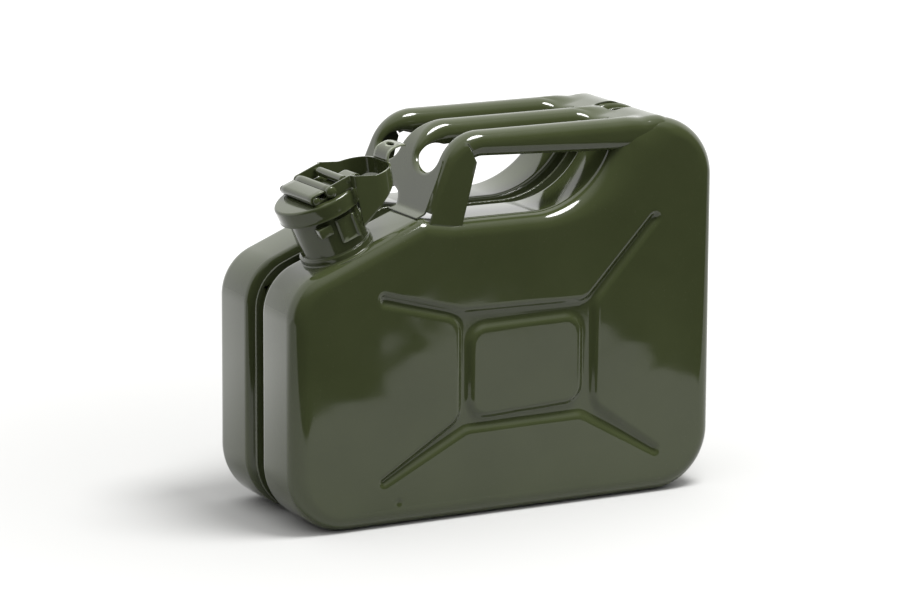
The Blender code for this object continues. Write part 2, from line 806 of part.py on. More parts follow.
# Cap lid: a pressed cup over the mouth, with a rubber ring under its top
lid_radius = 0.0310
lid_wall = 0.0012
lid_low = 0.0335
lid_top = 0.0455
lid_edge = 0.0045
lid_corner = (lid_radius - lid_edge, lid_top - lid_edge)
lid_profile = [(0.0, lid_top)]
lid_profile += [tuple(p) for p in arc(lid_corner, lid_edge, 90, 0, 5)]
lid_profile += [(lid_radius, lid_low), (lid_radius - lid_wall, lid_low)]
lid_profile += [tuple(p) for p in arc(lid_corner, lid_edge - lid_wall, 0, 90, 4)]
lid_profile.append((0.0, lid_top - lid_wall))
lid = closure_part("lid_cap", turned_mesh("lid_cap", lid_profile, turned_steps, closed=False))
smooth_round_faces(lid)
gasket_outer = 0.0265
gasket_inner = 0.0200
gasket_low = neck_height + fit_gap
gasket_high = lid_top - lid_wall - fit_gap
gasket_profile = [
    (gasket_outer, gasket_high),
    (gasket_outer, gasket_low),
    (gasket_inner, gasket_low),
    (gasket_inner, gasket_high),
]
gasket_mesh = turned_mesh("lid_gasket", gasket_profile, turned_steps)
gasket = closure_part("lid_gasket", gasket_mesh, finish="rubber")
smooth_round_faces(gasket)

# Lid strap: sheet spot-welded on the lid, rolled into a small eye in front and the lever's knuckle behind
strap_sheet = 0.0015
strap_half_width = 0.0242
strap_pin_radius = 0.0018
strap_pin_reach = 0.0270
strap_head_radius = 0.0026
strap_head_height = 0.0010
pivot_radius = 0.0024
front_eye_u = -0.0110
pivot_u = 0.0020
strap_low = lid_top + fit_gap
front_eye_radius = strap_pin_radius + fit_gap + strap_sheet / 2
knuckle_radius = pivot_radius + fit_gap + strap_sheet / 2
front_eye_w = strap_low + strap_sheet / 2 + front_eye_radius
pivot_w = strap_low + strap_sheet / 2 + knuckle_radius
strap_path = arc((front_eye_u, front_eye_w), front_eye_radius, 20, 270, 12)
strap_path += arc((pivot_u, pivot_w), knuckle_radius, 270, 560, 14)
strap_mesh = prism("lid_strap", ribbon(strap_path, strap_sheet), "Y", -strap_half_width, strap_half_width)
strap = closure_part("lid_strap", strap_mesh)
smooth_round_faces(strap)
strap_pin_mesh = pin_mesh("strap_pin", strap_pin_radius, strap_pin_reach, strap_head_radius, strap_head_height)
strap_pin = closure_part("strap_pin", strap_pin_mesh, (front_eye_u, front_eye_w))
smooth_round_faces(strap_pin)

# Hinge strap: from the lid's top over its rear edge and down to the hinge pin behind the neck
hinge_radius = 0.0020
hinge_u = 0.0362
hinge_w = 0.0285
hinge_strap_half_width = 0.0085
hinge_strap_sheet = 0.0013
hinge_strap_bend = 0.0035
hinge_eye_radius = hinge_radius + fit_gap + hinge_strap_sheet / 2
hinge_strap_front = pivot_u + knuckle_radius + strap_sheet
hinge_strap_w = strap_low + hinge_strap_sheet / 2
hinge_drop_u = hinge_u - hinge_eye_radius
hinge_line = [Vector((hinge_strap_front, hinge_strap_w))]
hinge_bend_spot = (hinge_drop_u - hinge_strap_bend, hinge_strap_w - hinge_strap_bend)
hinge_line += arc(hinge_bend_spot, hinge_strap_bend, 90, 0, 5)
hinge_line += arc((hinge_u, hinge_w), hinge_eye_radius, 180, 450, 12)
hinge_outline = ribbon(hinge_line, hinge_strap_sheet)
hinge_mesh = prism("hinge_strap", hinge_outline, "Y", -hinge_strap_half_width, hinge_strap_half_width)
hinge_strap = closure_part("hinge_strap", hinge_mesh)
smooth_round_faces(hinge_strap)

# Hinge ears: two plates brazed to the rear of the neck, and the pin through them
ear_sheet = 0.0022
ear_radius = 0.0042
ear_low = 0.0120
ear_inner = hinge_strap_half_width + 2 * fit_gap
ear_corners = [
    (neck_bore, ear_low, ear_sheet / 2, 2),
    (hinge_u + ear_radius, hinge_w - 2 * ear_radius, ear_radius, 3),
    (hinge_u + ear_radius, hinge_w + ear_radius, ear_radius - sheet / 10, 5),
    (neck_bore, hinge_w + ear_radius, ear_sheet / 2, 2),
]
neck_seat = closure_cutter(
    "neck_seat",
    bore_mesh("neck_seat", neck_radius + fit_gap, -neck_depth, neck_height + overrun, "Z", turned_steps),
)
hinge_bore = closure_cutter(
    "hinge_bore", bore_mesh("hinge_bore", hinge_radius + fit_gap, -lid_radius, lid_radius), (hinge_u, hinge_w)
)
for ear_name, ear_side in (("hinge_ear_near", -1), ("hinge_ear_far", 1)):
    ear_faces = sorted((ear_side * ear_inner, ear_side * (ear_inner + ear_sheet)))
    ear = closure_part(ear_name, prism(ear_name, rounded_outline(ear_corners), "Y", *ear_faces))
    add_boolean(ear, neck_seat)
    add_boolean(ear, hinge_bore)
    smooth_round_faces(ear)
hinge_head_radius = 0.0031
hinge_head_height = 0.0013
hinge_reach = ear_inner + ear_sheet + fit_gap
hinge_pin_mesh = pin_mesh("hinge_pin", hinge_radius, hinge_reach, hinge_head_radius, hinge_head_height)
hinge_pin = closure_part("hinge_pin", hinge_pin_mesh, (hinge_u, hinge_w))
smooth_round_faces(hinge_pin)

# Catches: bent lugs on both sides of the neck, whose turned-out rear edge holds the lever's flap
catch_sheet = 0.0018
catch_low = 0.0120
catch_high = 0.0300
catch_front = -0.0030
catch_rear = 0.0085
catch_stand = 0.0270
catch_reach = 0.0296
catch_path = [
    Vector((catch_front + catch_sheet, neck_bore)),
    Vector((catch_front, catch_stand - catch_sheet)),
    Vector((catch_front + catch_sheet, catch_stand)),
    Vector((catch_rear, catch_stand)),
    Vector((catch_rear + catch_sheet, catch_reach)),
]
for catch_name, catch_side in (("catch_lug_near", -1), ("catch_lug_far", 1)):
    catch_line = [Vector((p.x, catch_side * p.y)) for p in catch_path]
    catch_mesh = prism(catch_name, ribbon(catch_line, catch_sheet), "Z", catch_low, catch_high)
    catch = closure_part(catch_name, catch_mesh)
    add_boolean(catch, neck_seat)
    smooth_round_faces(catch)

# Spout lugs: small blocks near the front of the neck that a pouring spout clips under
spout_lug_front = -0.0180
spout_lug_rear = -0.0075
spout_lug_low = 0.0220
spout_lug_high = 0.0295
spout_lug_reach = 0.0280
spout_lug_edge = 0.0012
lug_corners = [
    (spout_lug_front, spout_lug_low, spout_lug_edge, 2),
    (spout_lug_rear, spout_lug_low, spout_lug_edge, 2),
    (spout_lug_rear, spout_lug_high, spout_lug_edge, 2),
    (spout_lug_front, spout_lug_high, spout_lug_edge, 2),
]
for lug_name, lug_side in (("spout_lug_near", -1), ("spout_lug_far", 1)):
    lug_faces = sorted((lug_side * neck_radius / 2, lug_side * spout_lug_reach))
    lug = closure_part(lug_name, prism(lug_name, rounded_outline(lug_corners), "Y", *lug_faces))
    add_boolean(lug, neck_seat)
    smooth_round_faces(lug)

# Cam lever: a U of sheet with a round nose on the pivot. Behind the roller its arms step outwards, past the
# lid, and reach down as cam flaps. The step leans like the flaps' front edge.
lever_sheet = 0.0014
lever_nose_half_width = strap_half_width + fit_gap + lever_sheet / 2
lever_half_width = 0.0296
lever_rear = 0.0560
lever_bend_radius = 0.0200
lever_level = 0.0450
lever_lean = 0.24
step_start = 0.0178
step_end = 0.0195
nose_radius = pivot_w - lid_top - fit_gap
lever_shape = [
    (pivot_u - nose_radius, pivot_w - nose_radius, nose_radius, 5),
    (0.0202, pivot_w - nose_radius, 0.0020, 2),
    (0.0132, 0.0160, 0.0015, 3),
    (0.0360, 0.0265, 0.0030, 2),
    (0.0500, 0.0325, 0.0030, 2),
    (0.0600, 0.0330, 0.0020, 2),
    (0.0600, 0.0435, 0.0020, 2),
    (0.0370, 0.0465, 0.0060, 3),
    (0.0200, 0.0545, 0.0060, 3),
    (pivot_u - nose_radius, pivot_w + nose_radius, nose_radius - sheet / 10, 5),
]
lever_front = pivot_u - 2 * nose_radius
bend_u = lever_rear - lever_bend_radius
lever_plan = [Vector((lever_front, -lever_nose_half_width)), Vector((step_start, -lever_nose_half_width))]
lever_plan.append(Vector((step_end, -lever_half_width)))
lever_plan += arc((bend_u, lever_bend_radius - lever_half_width), lever_bend_radius, 270, 360, 6)
lever_plan += [Vector((p.x, -p.y)) for p in lever_plan[::-1]]
lever_mesh = prism("cam_lever", ribbon(lever_plan, lever_sheet), "Z", 0.0, lid_top + lid_radius)
lever = closure_part("cam_lever", lean_mesh(lever_mesh, lever_lean, lever_level))
lever_side_mesh = prism("lever_side", rounded_outline(lever_shape), "Y", -width, width)
add_boolean(lever, closure_cutter("lever_side", lever_side_mesh), "INTERSECT")

# Thumb tab: a slotted tongue that rises from the rear of the lever and bends back
tab_half_width = 0.0105
tab_slot_half_width = 0.0045
tab_slot_radius = 0.0016
tab_reach = 0.0190
tab_rise = 0.0070
tab_root = 0.0360
tab_foot = 0.0435
tab_bend_shares = [(0.0, 0.0), (0.14, 0.50), (0.36, 0.86), (0.62, 1.0), (0.84, 0.84), (1.0, 0.50)]
tab_path = [Vector((lever_rear, tab_root))]
tab_path += [Vector((lever_rear + x * tab_reach, tab_foot + z * tab_rise)) for x, z in tab_bend_shares]
tab_mesh = prism("lever_tab", ribbon(tab_path, lever_sheet), "Y", -tab_half_width, tab_half_width)
add_boolean(lever, closure_cutter("lever_tab", tab_mesh), "UNION")
slot_outline = arc((0.0, tab_slot_half_width), tab_slot_radius, 0, 180, 6)
slot_outline += arc((0.0, -tab_slot_half_width), tab_slot_radius, 180, 360, 6)
slot_mesh = prism("tab_slot", slot_outline, "Z", tab_foot, tab_foot + tab_rise + overrun)
add_boolean(lever, closure_cutter("tab_slot", slot_mesh, (tab_path[4].x, 0.0)))

# Pivot pin: riveted through the lever's arms and the strap's knuckle
pivot_head_radius = 0.0042
pivot_head_height = 0.0021
pivot_reach = lever_nose_half_width + lever_sheet / 2 + fit_gap
pivot_bore = bore_mesh("pivot_bore", pivot_radius + fit_gap, -width, width)
add_boolean(lever, closure_cutter("pivot_bore", pivot_bore, (pivot_u, pivot_w)))
pivot_mesh = pin_mesh("pivot_pin", pivot_radius, pivot_reach, pivot_head_radius, pivot_head_height)
pivot_pin = closure_part("pivot_pin", pivot_mesh, (pivot_u, pivot_w))
smooth_round_faces(pivot_pin)

# Pressure roller: a rolled sleeve behind the pivot, on a pin whose ends lie flush in the arms
roller_u = 0.0165
roller_w = 0.0510
roller_radius = 0.0032
roller_pin_radius = 0.0019
roller_half_width = 0.0190
roller_bore = closure_cutter(
    "roller_bore", bore_mesh("roller_bore", roller_pin_radius + fit_gap, -width, width), (roller_u, roller_w)
)
add_boolean(lever, roller_bore)
smooth_round_faces(lever)
roller = closure_part(
    "pressure_roller", pin_mesh("pressure_roller", roller_radius, roller_half_width), (roller_u, roller_w)
)
add_boolean(roller, roller_bore)
smooth_round_faces(roller)
roller_pin = closure_part(
    "roller_pin",
    pin_mesh("roller_pin", roller_pin_radius, lever_nose_half_width + lever_sheet / 2),
    (roller_u, roller_w),
)
smooth_round_faces(roller_pin)
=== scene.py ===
"""Looks of the metal jerry can: its painted sheet metal, weld, handles and cap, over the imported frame."""

import math

import bmesh
import bpy
import numpy as np
from mathutils import Matrix, Vector, noise


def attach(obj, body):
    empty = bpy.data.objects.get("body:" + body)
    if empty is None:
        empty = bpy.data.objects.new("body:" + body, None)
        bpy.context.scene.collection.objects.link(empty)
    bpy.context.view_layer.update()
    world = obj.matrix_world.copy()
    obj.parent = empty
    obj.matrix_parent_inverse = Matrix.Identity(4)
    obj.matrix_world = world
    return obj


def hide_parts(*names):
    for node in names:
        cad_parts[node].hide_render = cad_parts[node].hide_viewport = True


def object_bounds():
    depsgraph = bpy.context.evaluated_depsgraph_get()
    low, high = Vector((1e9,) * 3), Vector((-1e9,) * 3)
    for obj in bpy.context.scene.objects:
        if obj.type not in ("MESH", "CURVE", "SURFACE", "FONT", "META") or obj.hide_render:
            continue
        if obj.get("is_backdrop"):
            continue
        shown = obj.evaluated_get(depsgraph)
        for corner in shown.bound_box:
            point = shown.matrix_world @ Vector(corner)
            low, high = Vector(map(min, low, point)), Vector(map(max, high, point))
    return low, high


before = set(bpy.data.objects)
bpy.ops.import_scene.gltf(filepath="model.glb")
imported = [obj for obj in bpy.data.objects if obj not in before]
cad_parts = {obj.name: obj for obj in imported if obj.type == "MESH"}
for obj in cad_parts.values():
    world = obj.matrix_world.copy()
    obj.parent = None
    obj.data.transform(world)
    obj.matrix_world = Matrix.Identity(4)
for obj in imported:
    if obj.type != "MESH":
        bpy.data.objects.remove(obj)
cad_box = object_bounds()


# Camera: a long lens, a little above the can, that looks along its near broad side from the spout end.
# Its angles, distance and aim were fitted to the can's own edges in the photograph.
camera_azimuth = math.radians(28.02)
camera_elevation = math.radians(12.35)
camera_roll = math.radians(0.31)
camera_distance = 3.2064
aim_height = 0.137
aim_right = -0.01229
aim_up = 0.00807
sensor_width = 36.0
focal_length = 4374.13 / 900 * sensor_width

level = Matrix.Rotation(-camera_azimuth, 4, "Z") @ Matrix.Rotation(math.pi / 2 - camera_elevation, 4, "X")
turned_level = level @ Matrix.Rotation(camera_roll, 4, "Z")
right, up, back = (Vector(turned_level.col[i][:3]) for i in range(3))
camera_data = bpy.data.cameras.new("photo_camera")
camera_data.lens = focal_length
camera_data.sensor_width = sensor_width
camera_data.clip_start = 0.05
camera = bpy.data.objects.new("photo_camera", camera_data)
bpy.context.scene.collection.objects.link(camera)
aim = Vector((0.0, 0.0, aim_height)) + right * aim_right + up * aim_up
camera.matrix_world = Matrix.Translation(aim + back * camera_distance) @ turned_level
bpy.context.scene.camera = camera


# Studio: an oval softbox overhead and a paper floor, whose front edge is cut so that its reflection ends on
# the near broad side as in the photograph. Further away the paper is lifted to white for the camera, and
# behind the can in reflections. The world is white behind the can and dark in front of it.
softbox_data = bpy.data.lights.new("overhead_softbox", "AREA")
softbox_data.shape = "ELLIPSE"
softbox_data.size = 0.76
softbox_data.size_y = 0.60
softbox_data.energy = 32.0
softbox = bpy.data.objects.new("overhead_softbox", softbox_data)
softbox.location = (0.30, -0.44, 1.62)
bpy.context.scene.collection.objects.link(softbox)

paper_side = 2.5
paper_rear = 3.0
paper_front_edge = [
    (-paper_side, -0.345), (-0.040, -0.350), (0.008, -0.384), (0.035, -0.400), (0.078, -0.409),
    (0.142, -0.531), (0.178, -0.571), (0.203, -0.579), (0.229, -0.618), (0.235, -0.650),
    (0.282, -0.672), (0.372, -0.640), (0.364, -0.572), (0.350, -0.527), (0.351, -0.501),
    (0.368, -0.492), (0.320, -0.401), (0.336, -0.390), (0.345, -0.350), (paper_side, -0.345),
]


def loop_of(shape, points):
    """A closed loop of edges through points."""
    spots = [shape.verts.new(point) for point in points]
    return [shape.edges.new((a, b)) for a, b in zip(spots, spots[1:] + spots[:1])]


paper_corners = paper_front_edge + [(paper_side, paper_rear), (-paper_side, paper_rear)]
paper_shape = bmesh.new()
paper_edges = loop_of(paper_shape, [(x, y, 0.0) for x, y in paper_corners])
bmesh.ops.triangle_fill(paper_shape, use_beauty=False, use_dissolve=False, edges=paper_edges)
bmesh.ops.recalc_face_normals(paper_shape, faces=paper_shape.faces)
paper_mesh = bpy.data.meshes.new("paper_floor")
paper_shape.to_mesh(paper_mesh)
paper_shape.free()
paper = bpy.data.objects.new("paper_floor", paper_mesh)
bpy.context.scene.collection.objects.link(paper)
paper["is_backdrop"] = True


def fill(tree, node, inputs):
    """Give a node's inputs their values. One that comes from another node is linked."""
    for key, value in inputs.items():
        if isinstance(value, bpy.types.NodeSocket):
            tree.links.new(value, node.inputs[key])
        else:
            node.inputs[key].default_value = value


def add_node(tree, kind, inputs=None, operation=None):
    """A shader node of a kind, with its inputs and its operation."""
    node = tree.nodes.new("ShaderNode" + kind)
    if operation:
        node.operation = operation
    fill(tree, node, inputs or {})
    return node


def span(tree, value, low, high, to_low=0.0, to_high=1.0, soft=False):
    """A value's place between two levels, as a level between two others."""
    limits = {"From Min": low, "From Max": high, "To Min": to_low, "To Max": to_high}
    node = add_node(tree, "MapRange", {"Value": value, **limits})
    if soft:
        node.interpolation_type = "SMOOTHSTEP"
    return node.outputs[0]


def mix(tree, share, first, second):
    """A mix of two colours."""
    node = tree.nodes.new("ShaderNodeMix")
    node.data_type = "RGBA"
    fill(tree, node, {0: share, 6: first, 7: second})
    return node.outputs[2]


def new_material(name):
    """A material with its node tree and its shader."""
    material = bpy.data.materials.new(name)
    material.use_nodes = True
    return material, material.node_tree, material.node_tree.nodes["Principled BSDF"]


white = (1.0, 1.0, 1.0, 1.0)
paper_colour = (0.49, 0.49, 0.483, 1.0)
paper_material, paper_tree, paper_shader = new_material("white_paper")
paper_seen = add_node(paper_tree, "LightPath").outputs
paper_place = add_node(paper_tree, "TexCoord").outputs["Object"]
paper_distance = add_node(paper_tree, "VectorMath", {0: paper_place}, "LENGTH").outputs["Value"]
paper_fade = span(paper_tree, paper_distance, 0.20, 1.10, 0.0, 0.60, True)
lift_parts = {0: paper_seen["Is Camera Ray"], 1: paper_fade}
paper_lift = add_node(paper_tree, "Math", lift_parts, "MULTIPLY").outputs[0]
paper_depth = add_node(paper_tree, "SeparateXYZ", {0: paper_place}).outputs["Y"]
paper_behind = span(paper_tree, paper_depth, 0.05, 0.50, 0.0, 0.9, True)
glow_parts = {0: paper_behind, 1: paper_seen["Is Glossy Ray"], 2: paper_lift}
paper_glow = add_node(paper_tree, "Math", glow_parts, "MULTIPLY_ADD").outputs[0]
fill(paper_tree, paper_shader, {"Base Color": paper_colour, "Roughness": 0.9, "Specular IOR Level": 0.1})
fill(paper_tree, paper_shader, {"Emission Color": white, "Emission Strength": paper_glow})
paper_mesh.materials.append(paper_material)

world = bpy.data.worlds.new("studio")
bpy.context.scene.world = world
world.use_nodes = True
sky = world.node_tree
ray = add_node(sky, "LightPath").outputs
heading = add_node(sky, "TexCoord").outputs["Generated"]
split = add_node(sky, "SeparateXYZ", {0: heading}).outputs
rear_level = span(sky, split["Y"], -0.25, 0.15, 0.05, 1.4, True)
ceiling_level = span(sky, split["Z"], 0.50, 0.95, 0.05, 1.0, True)
mirrored_level = add_node(sky, "Math", {0: rear_level, 1: ceiling_level}, "MAXIMUM").outputs[0]
diffuse_level = span(sky, split["Z"], 0.0, 0.90, 0.12, 1.55, True)
seen_parts = {0: ray["Is Camera Ray"], 1: ray["Is Transmission Ray"]}
seen_direct = add_node(sky, "Math", seen_parts, "MAXIMUM").outputs[0]
unseen_level = add_node(sky, "Mix", {0: ray["Is Glossy Ray"], 2: diffuse_level, 3: mirrored_level}).outputs[0]
level_of_all = add_node(sky, "Mix", {0: seen_direct, 2: unseen_level, 3: 1.0}).outputs[0]
fill(sky, sky.nodes["Background"], {"Color": white, "Strength": level_of_all})
bpy.context.scene.view_settings.view_transform = "Standard"


# Body halves: two deep pressings of 1 mm steel sheet, welded along the flanges that stand in the recessed
# seam. Each broad side has a cross of pressed channels round a square panel. The paint is glossy enamel.
sheet = 0.0010
seam_gap = 0.00015
length = 0.345
width = 0.130
body_height = 0.280
half_length = length / 2
shoulder_tilt = math.radians(22.3)
crest_place = -0.068
crest_height = 0.2225
front_corner_height = crest_height - math.tan(shoulder_tilt) * (crest_place + half_length)
# Corners of an outline: along the can, up, radius and steps
band_corners = [
    (-half_length, 0.0, 0.045, 22),
    (half_length, 0.0, 0.045, 22),
    (half_length, body_height, 0.046, 24),
    (0.1215, body_height, 0.040, 8),
    (0.0923, 0.2735, 0.0105, 12),
    (0.0762, 0.219, 0.068, 34),
    (-0.046, 0.219, 0.020, 6),
    (crest_place, crest_height, 0.014, 12),
    (-half_length, front_corner_height, 0.037, 20),
]
edge_radius = 0.012
edge_depth = 0.013
edge_corners = [
    (-half_length + edge_radius, edge_radius, 0.033, 22),
    (half_length - edge_radius, edge_radius, 0.033, 22),
    (half_length - edge_radius, 0.2567, 0.031, 24),
    (0.1382, 0.2659, 0.004, 8),
    (0.1250, 0.2512, 0.060, 12),
    (0.0759, 0.207, 0.130, 34),
    (-0.0479, 0.207, 0.032, 6),
]


def rounded_outline(corners, inset=0.0):
    """Points of a closed counter-clockwise outline with rounded corners (x, z, radius, steps), moved in."""
    count = len(corners)
    spots = [Vector(corner[:2]) for corner in corners]
    lines = []
    for i in range(count):
        along = (spots[(i + 1) % count] - spots[i]).normalized()
        lines.append((spots[i] + Vector((-along.y, along.x)) * inset, along))
    points = []
    for i, (_, _, radius, steps) in enumerate(corners):
        before, along_in = lines[i - 1]
        after, along_out = lines[i]
        turn = along_in.cross(along_out)
        corner = before + along_in * ((after - before).cross(along_out) / turn)
        reach = max(radius - inset if turn > 0 else radius + inset, 0.0001)
        half = math.atan2(turn, along_in.dot(along_out)) / 2
        start = corner - along_in * (reach * abs(math.tan(half)))
        side = Vector((-along_in.y, along_in.x)) * (reach if turn > 0 else -reach)
        centre = start + side
        for step in range(steps + 1):
            points.append(centre + Matrix.Rotation(2 * half * step / steps, 2) @ (start - centre))
    return points


sharp_corners = [(x, z, 0.0, 1) for x, z, _, _ in band_corners]
inset_spots = rounded_outline(sharp_corners, edge_radius)[::2]
for number in (7, 8):
    spot = inset_spots[number]
    edge_corners.append((spot.x, spot.y, band_corners[number][2] - edge_radius, band_corners[number][3]))

# Cross section of one half from the seam outwards: distance from the seam plane and depth under the band
groove_section = [
    (0.00115, 0.0024),
    (0.00115, 0.0064),
    (0.0014, 0.0076),
    (0.0022, 0.0083),
    (0.0036, 0.0085),
    (0.0074, 0.0085),
    (0.0088, 0.0083),
    (0.0098, 0.0077),
    (0.0106, 0.0066),
    (0.0113, 0.0050),
    (0.0119, 0.0032),
    (0.0126, 0.0018),
    (0.0136, 0.0008),
    (0.0150, 0.0002),
    (0.0170, 0.0),
]
inner_section = [(0.0140, 0.0015), (0.0120, 0.0085), (0.0090, 0.0095), (seam_gap, 0.0095), (seam_gap, 0.0024)]
inner_reach = 0.0060
inner_steps = 4
edge_steps = 14

channel_depth = 0.0034
channel_wall = 0.0064
cross_corners = [
    (-0.1090, 0.0245, 0.005, 5),
    (-0.0331, 0.0625, 0.010, 5),
    (0.0600, 0.0635, 0.010, 5),
    (0.1280, 0.0250, 0.004, 5),
    (0.1280, 0.0362, 0.004, 5),
    (0.0745, 0.0745, 0.012, 5),
    (0.0745, 0.1490, 0.012, 5),
    (0.1290, 0.2080, 0.005, 5),
    (0.1195, 0.2145, 0.005, 5),
    (0.0630, 0.1550, 0.010, 5),
    (-0.0360, 0.1560, 0.010, 5),
    (-0.1060, 0.1755, 0.005, 5),
    (-0.1050, 0.1620, 0.005, 5),
    (-0.0425, 0.1455, 0.010, 5),
    (-0.0425, 0.0760, 0.010, 5),
    (-0.1050, 0.0370, 0.005, 5),
]
panel_corners = [
    (-0.0280, 0.0765, 0.010, 6),
    (0.0575, 0.0800, 0.010, 6),
    (0.0575, 0.1385, 0.010, 6),
    (-0.0280, 0.1370, 0.010, 6),
]
cross_outline = rounded_outline(cross_corners)
panel_outline = rounded_outline(panel_corners)
face_outline = rounded_outline(edge_corners)
face_pitch = 0.0013
face_sink = 0.00030
face_waves = 0.00024
rim_fade = 0.030
pit_place = (-0.0890, 0.0180)
pit_radius = 0.0020
pit_depth = 0.0012


def outline_distances(spots, outline):
    """Distances from many points to a closed outline, positive inside it."""
    nearest = np.full(len(spots), 1.0)
    inside = np.zeros(len(spots), dtype=bool)
    corners = np.array([tuple(p) for p in outline])
    for before, after in zip(np.roll(corners, 1, axis=0), corners):
        edge = after - before
        share = np.clip((spots - before) @ edge / (edge @ edge), 0.0, 1.0)
        nearest = np.minimum(nearest, np.linalg.norm(before + share[:, None] * edge - spots, axis=1))
        if after[1] != before[1]:
            crossed = (after[1] > spots[:, 1]) != (before[1] > spots[:, 1])
            inside ^= crossed & (spots[:, 0] < before[0] + (spots[:, 1] - before[1]) * edge[0] / edge[1])
    return np.where(inside, nearest, -nearest)


def face_sinks(spots, rim_distances):
    """How far points of the broad side lie under its plane: the pressed cross and the sheet's unevenness."""
    in_cross = np.minimum(outline_distances(spots, cross_outline), -outline_distances(spots, panel_outline))
    pressed = channel_depth * (1 - np.cos(np.pi * np.clip(in_cross / channel_wall, 0.0, 1.0))) / 2
    rim = np.clip(rim_distances / rim_fade, 0.0, 1.0)
    waves = [
        noise.noise(Vector((x * 17, z * 23, 4.0))) + noise.noise(Vector((x * 39, z * 44, 9.0))) / 2
        for x, z in spots
    ]
    return pressed + rim * rim * (3 - 2 * rim) * (face_sink + face_waves * np.array(waves))


def finish_mesh(name, shape, merge=0.0):
    """The finished mesh of a bmesh, with its doubles merged and its faces pointing outwards."""
    if merge:
        bmesh.ops.remove_doubles(shape, verts=shape.verts, dist=merge)
    bmesh.ops.recalc_face_normals(shape, faces=shape.faces)
    mesh = bpy.data.meshes.new(name)
    shape.to_mesh(mesh)
    shape.free()
    return mesh


def add_piece(name, mesh, body, material, nodes, sharp=40.0):
    """An object at the origin that rides on a body, stands for its CAD nodes and takes a finish."""
    piece = bpy.data.objects.new(name, mesh)
    bpy.context.scene.collection.objects.link(piece)
    mesh.shade_smooth()
    mesh.set_sharp_from_angle(angle=math.radians(sharp))
    mesh.materials.clear()
    mesh.materials.append(material)
    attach(piece, body)
    if nodes:
        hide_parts(*nodes)
    return piece


def noise_at(tree, place, scale, detail=2.0, roughness=0.5):
    """Fine or coarse noise over a place."""
    look = {"Vector": place, "Scale": scale, "Detail": detail, "Roughness": roughness}
    return add_node(tree, "TexNoise", look).outputs["Fac"]


# The enamel's film: patches, smudges, dust, lighter edges (thin paint and painted highlight), fine orange
# peel
film = bpy.data.node_groups.new("enamel_film", "ShaderNodeTree")
peel_scale = film.interface.new_socket("Peel Scale", in_out="INPUT", socket_type="NodeSocketFloat")
peel_scale.default_value = 900.0
for label in ("Patches", "Smudges", "Dust", "Edge", "Height"):
    film.interface.new_socket(label, in_out="OUTPUT", socket_type="NodeSocketFloat")
film_place = add_node(film, "TexCoord").outputs["Object"]
film_bend = add_node(film, "NewGeometry").outputs["Pointiness"]
film_peel = film.nodes.new("NodeGroupInput").outputs["Peel Scale"]
fill(film, film.nodes.new("NodeGroupOutput"), {
    "Patches": span(film, noise_at(film, film_place, 14.0, 3.0), 0.3, 0.7),
    "Smudges": span(film, noise_at(film, film_place, 46.0, 5.0, 0.62), 0.42, 0.78),
    "Dust": span(film, noise_at(film, film_place, 1500.0, 1.0, 0.4), 0.74, 0.80, 0.0, 0.4),
    # Lighter convex edges, found by pointiness: partly thin paint, partly a painted highlight.
    "Edge": span(film, film_bend, 0.54, 0.62),
    "Height": noise_at(film, film_place, film_peel),
})

olive = (0.0350, 0.0430, 0.0165)
olive_light = (0.0420, 0.0510, 0.0205)
dust_colour = (0.16, 0.16, 0.13, 1.0)


def enamel(name, roughness=0.06, peel=0.00002, edge=1.6):
    """Glossy enamel on steel: a deep colour with slight patches, smudges in its gloss and orange peel."""
    material, tree, shader = new_material(name)
    effect = tree.nodes.new("ShaderNodeGroup")
    effect.node_tree = film
    parts = effect.outputs
    # Convex edges turn a lighter grey-olive, scaled by edge: partly worn thin paint, partly a painted
    # highlight.
    grey = sum(olive_light) / 3
    worn_and_lit_edge_colour = (*(edge * (c + grey) / 2 for c in olive_light), 1.0)
    paint = mix(tree, parts["Patches"], (*olive, 1.0), (*olive_light, 1.0))
    worn_and_lit_paint = mix(tree, parts["Edge"], paint, worn_and_lit_edge_colour)
    relief = {"Strength": 0.35, "Distance": peel, "Height": parts["Height"]}
    fill(tree, shader, {
        "Base Color": mix(tree, parts["Dust"], worn_and_lit_paint, dust_colour),
        "Roughness": span(tree, parts["Smudges"], 0.0, 1.0, roughness, roughness + 0.05),
        "Normal": add_node(tree, "Bump", relief).outputs["Normal"],
    })
    return material


body_paint = enamel("olive_enamel_body")

closure_x = -0.122
closure_y = -0.031
closure_z = crest_height + math.tan(shoulder_tilt) * (closure_x - crest_place)
closure_place = Vector((closure_x, closure_y, closure_z))
closure_matrix = Matrix.Translation(closure_place) @ Matrix.Rotation(-shoulder_tilt, 4, "Y")
neck_radius = 0.0250
hole_sides = 32


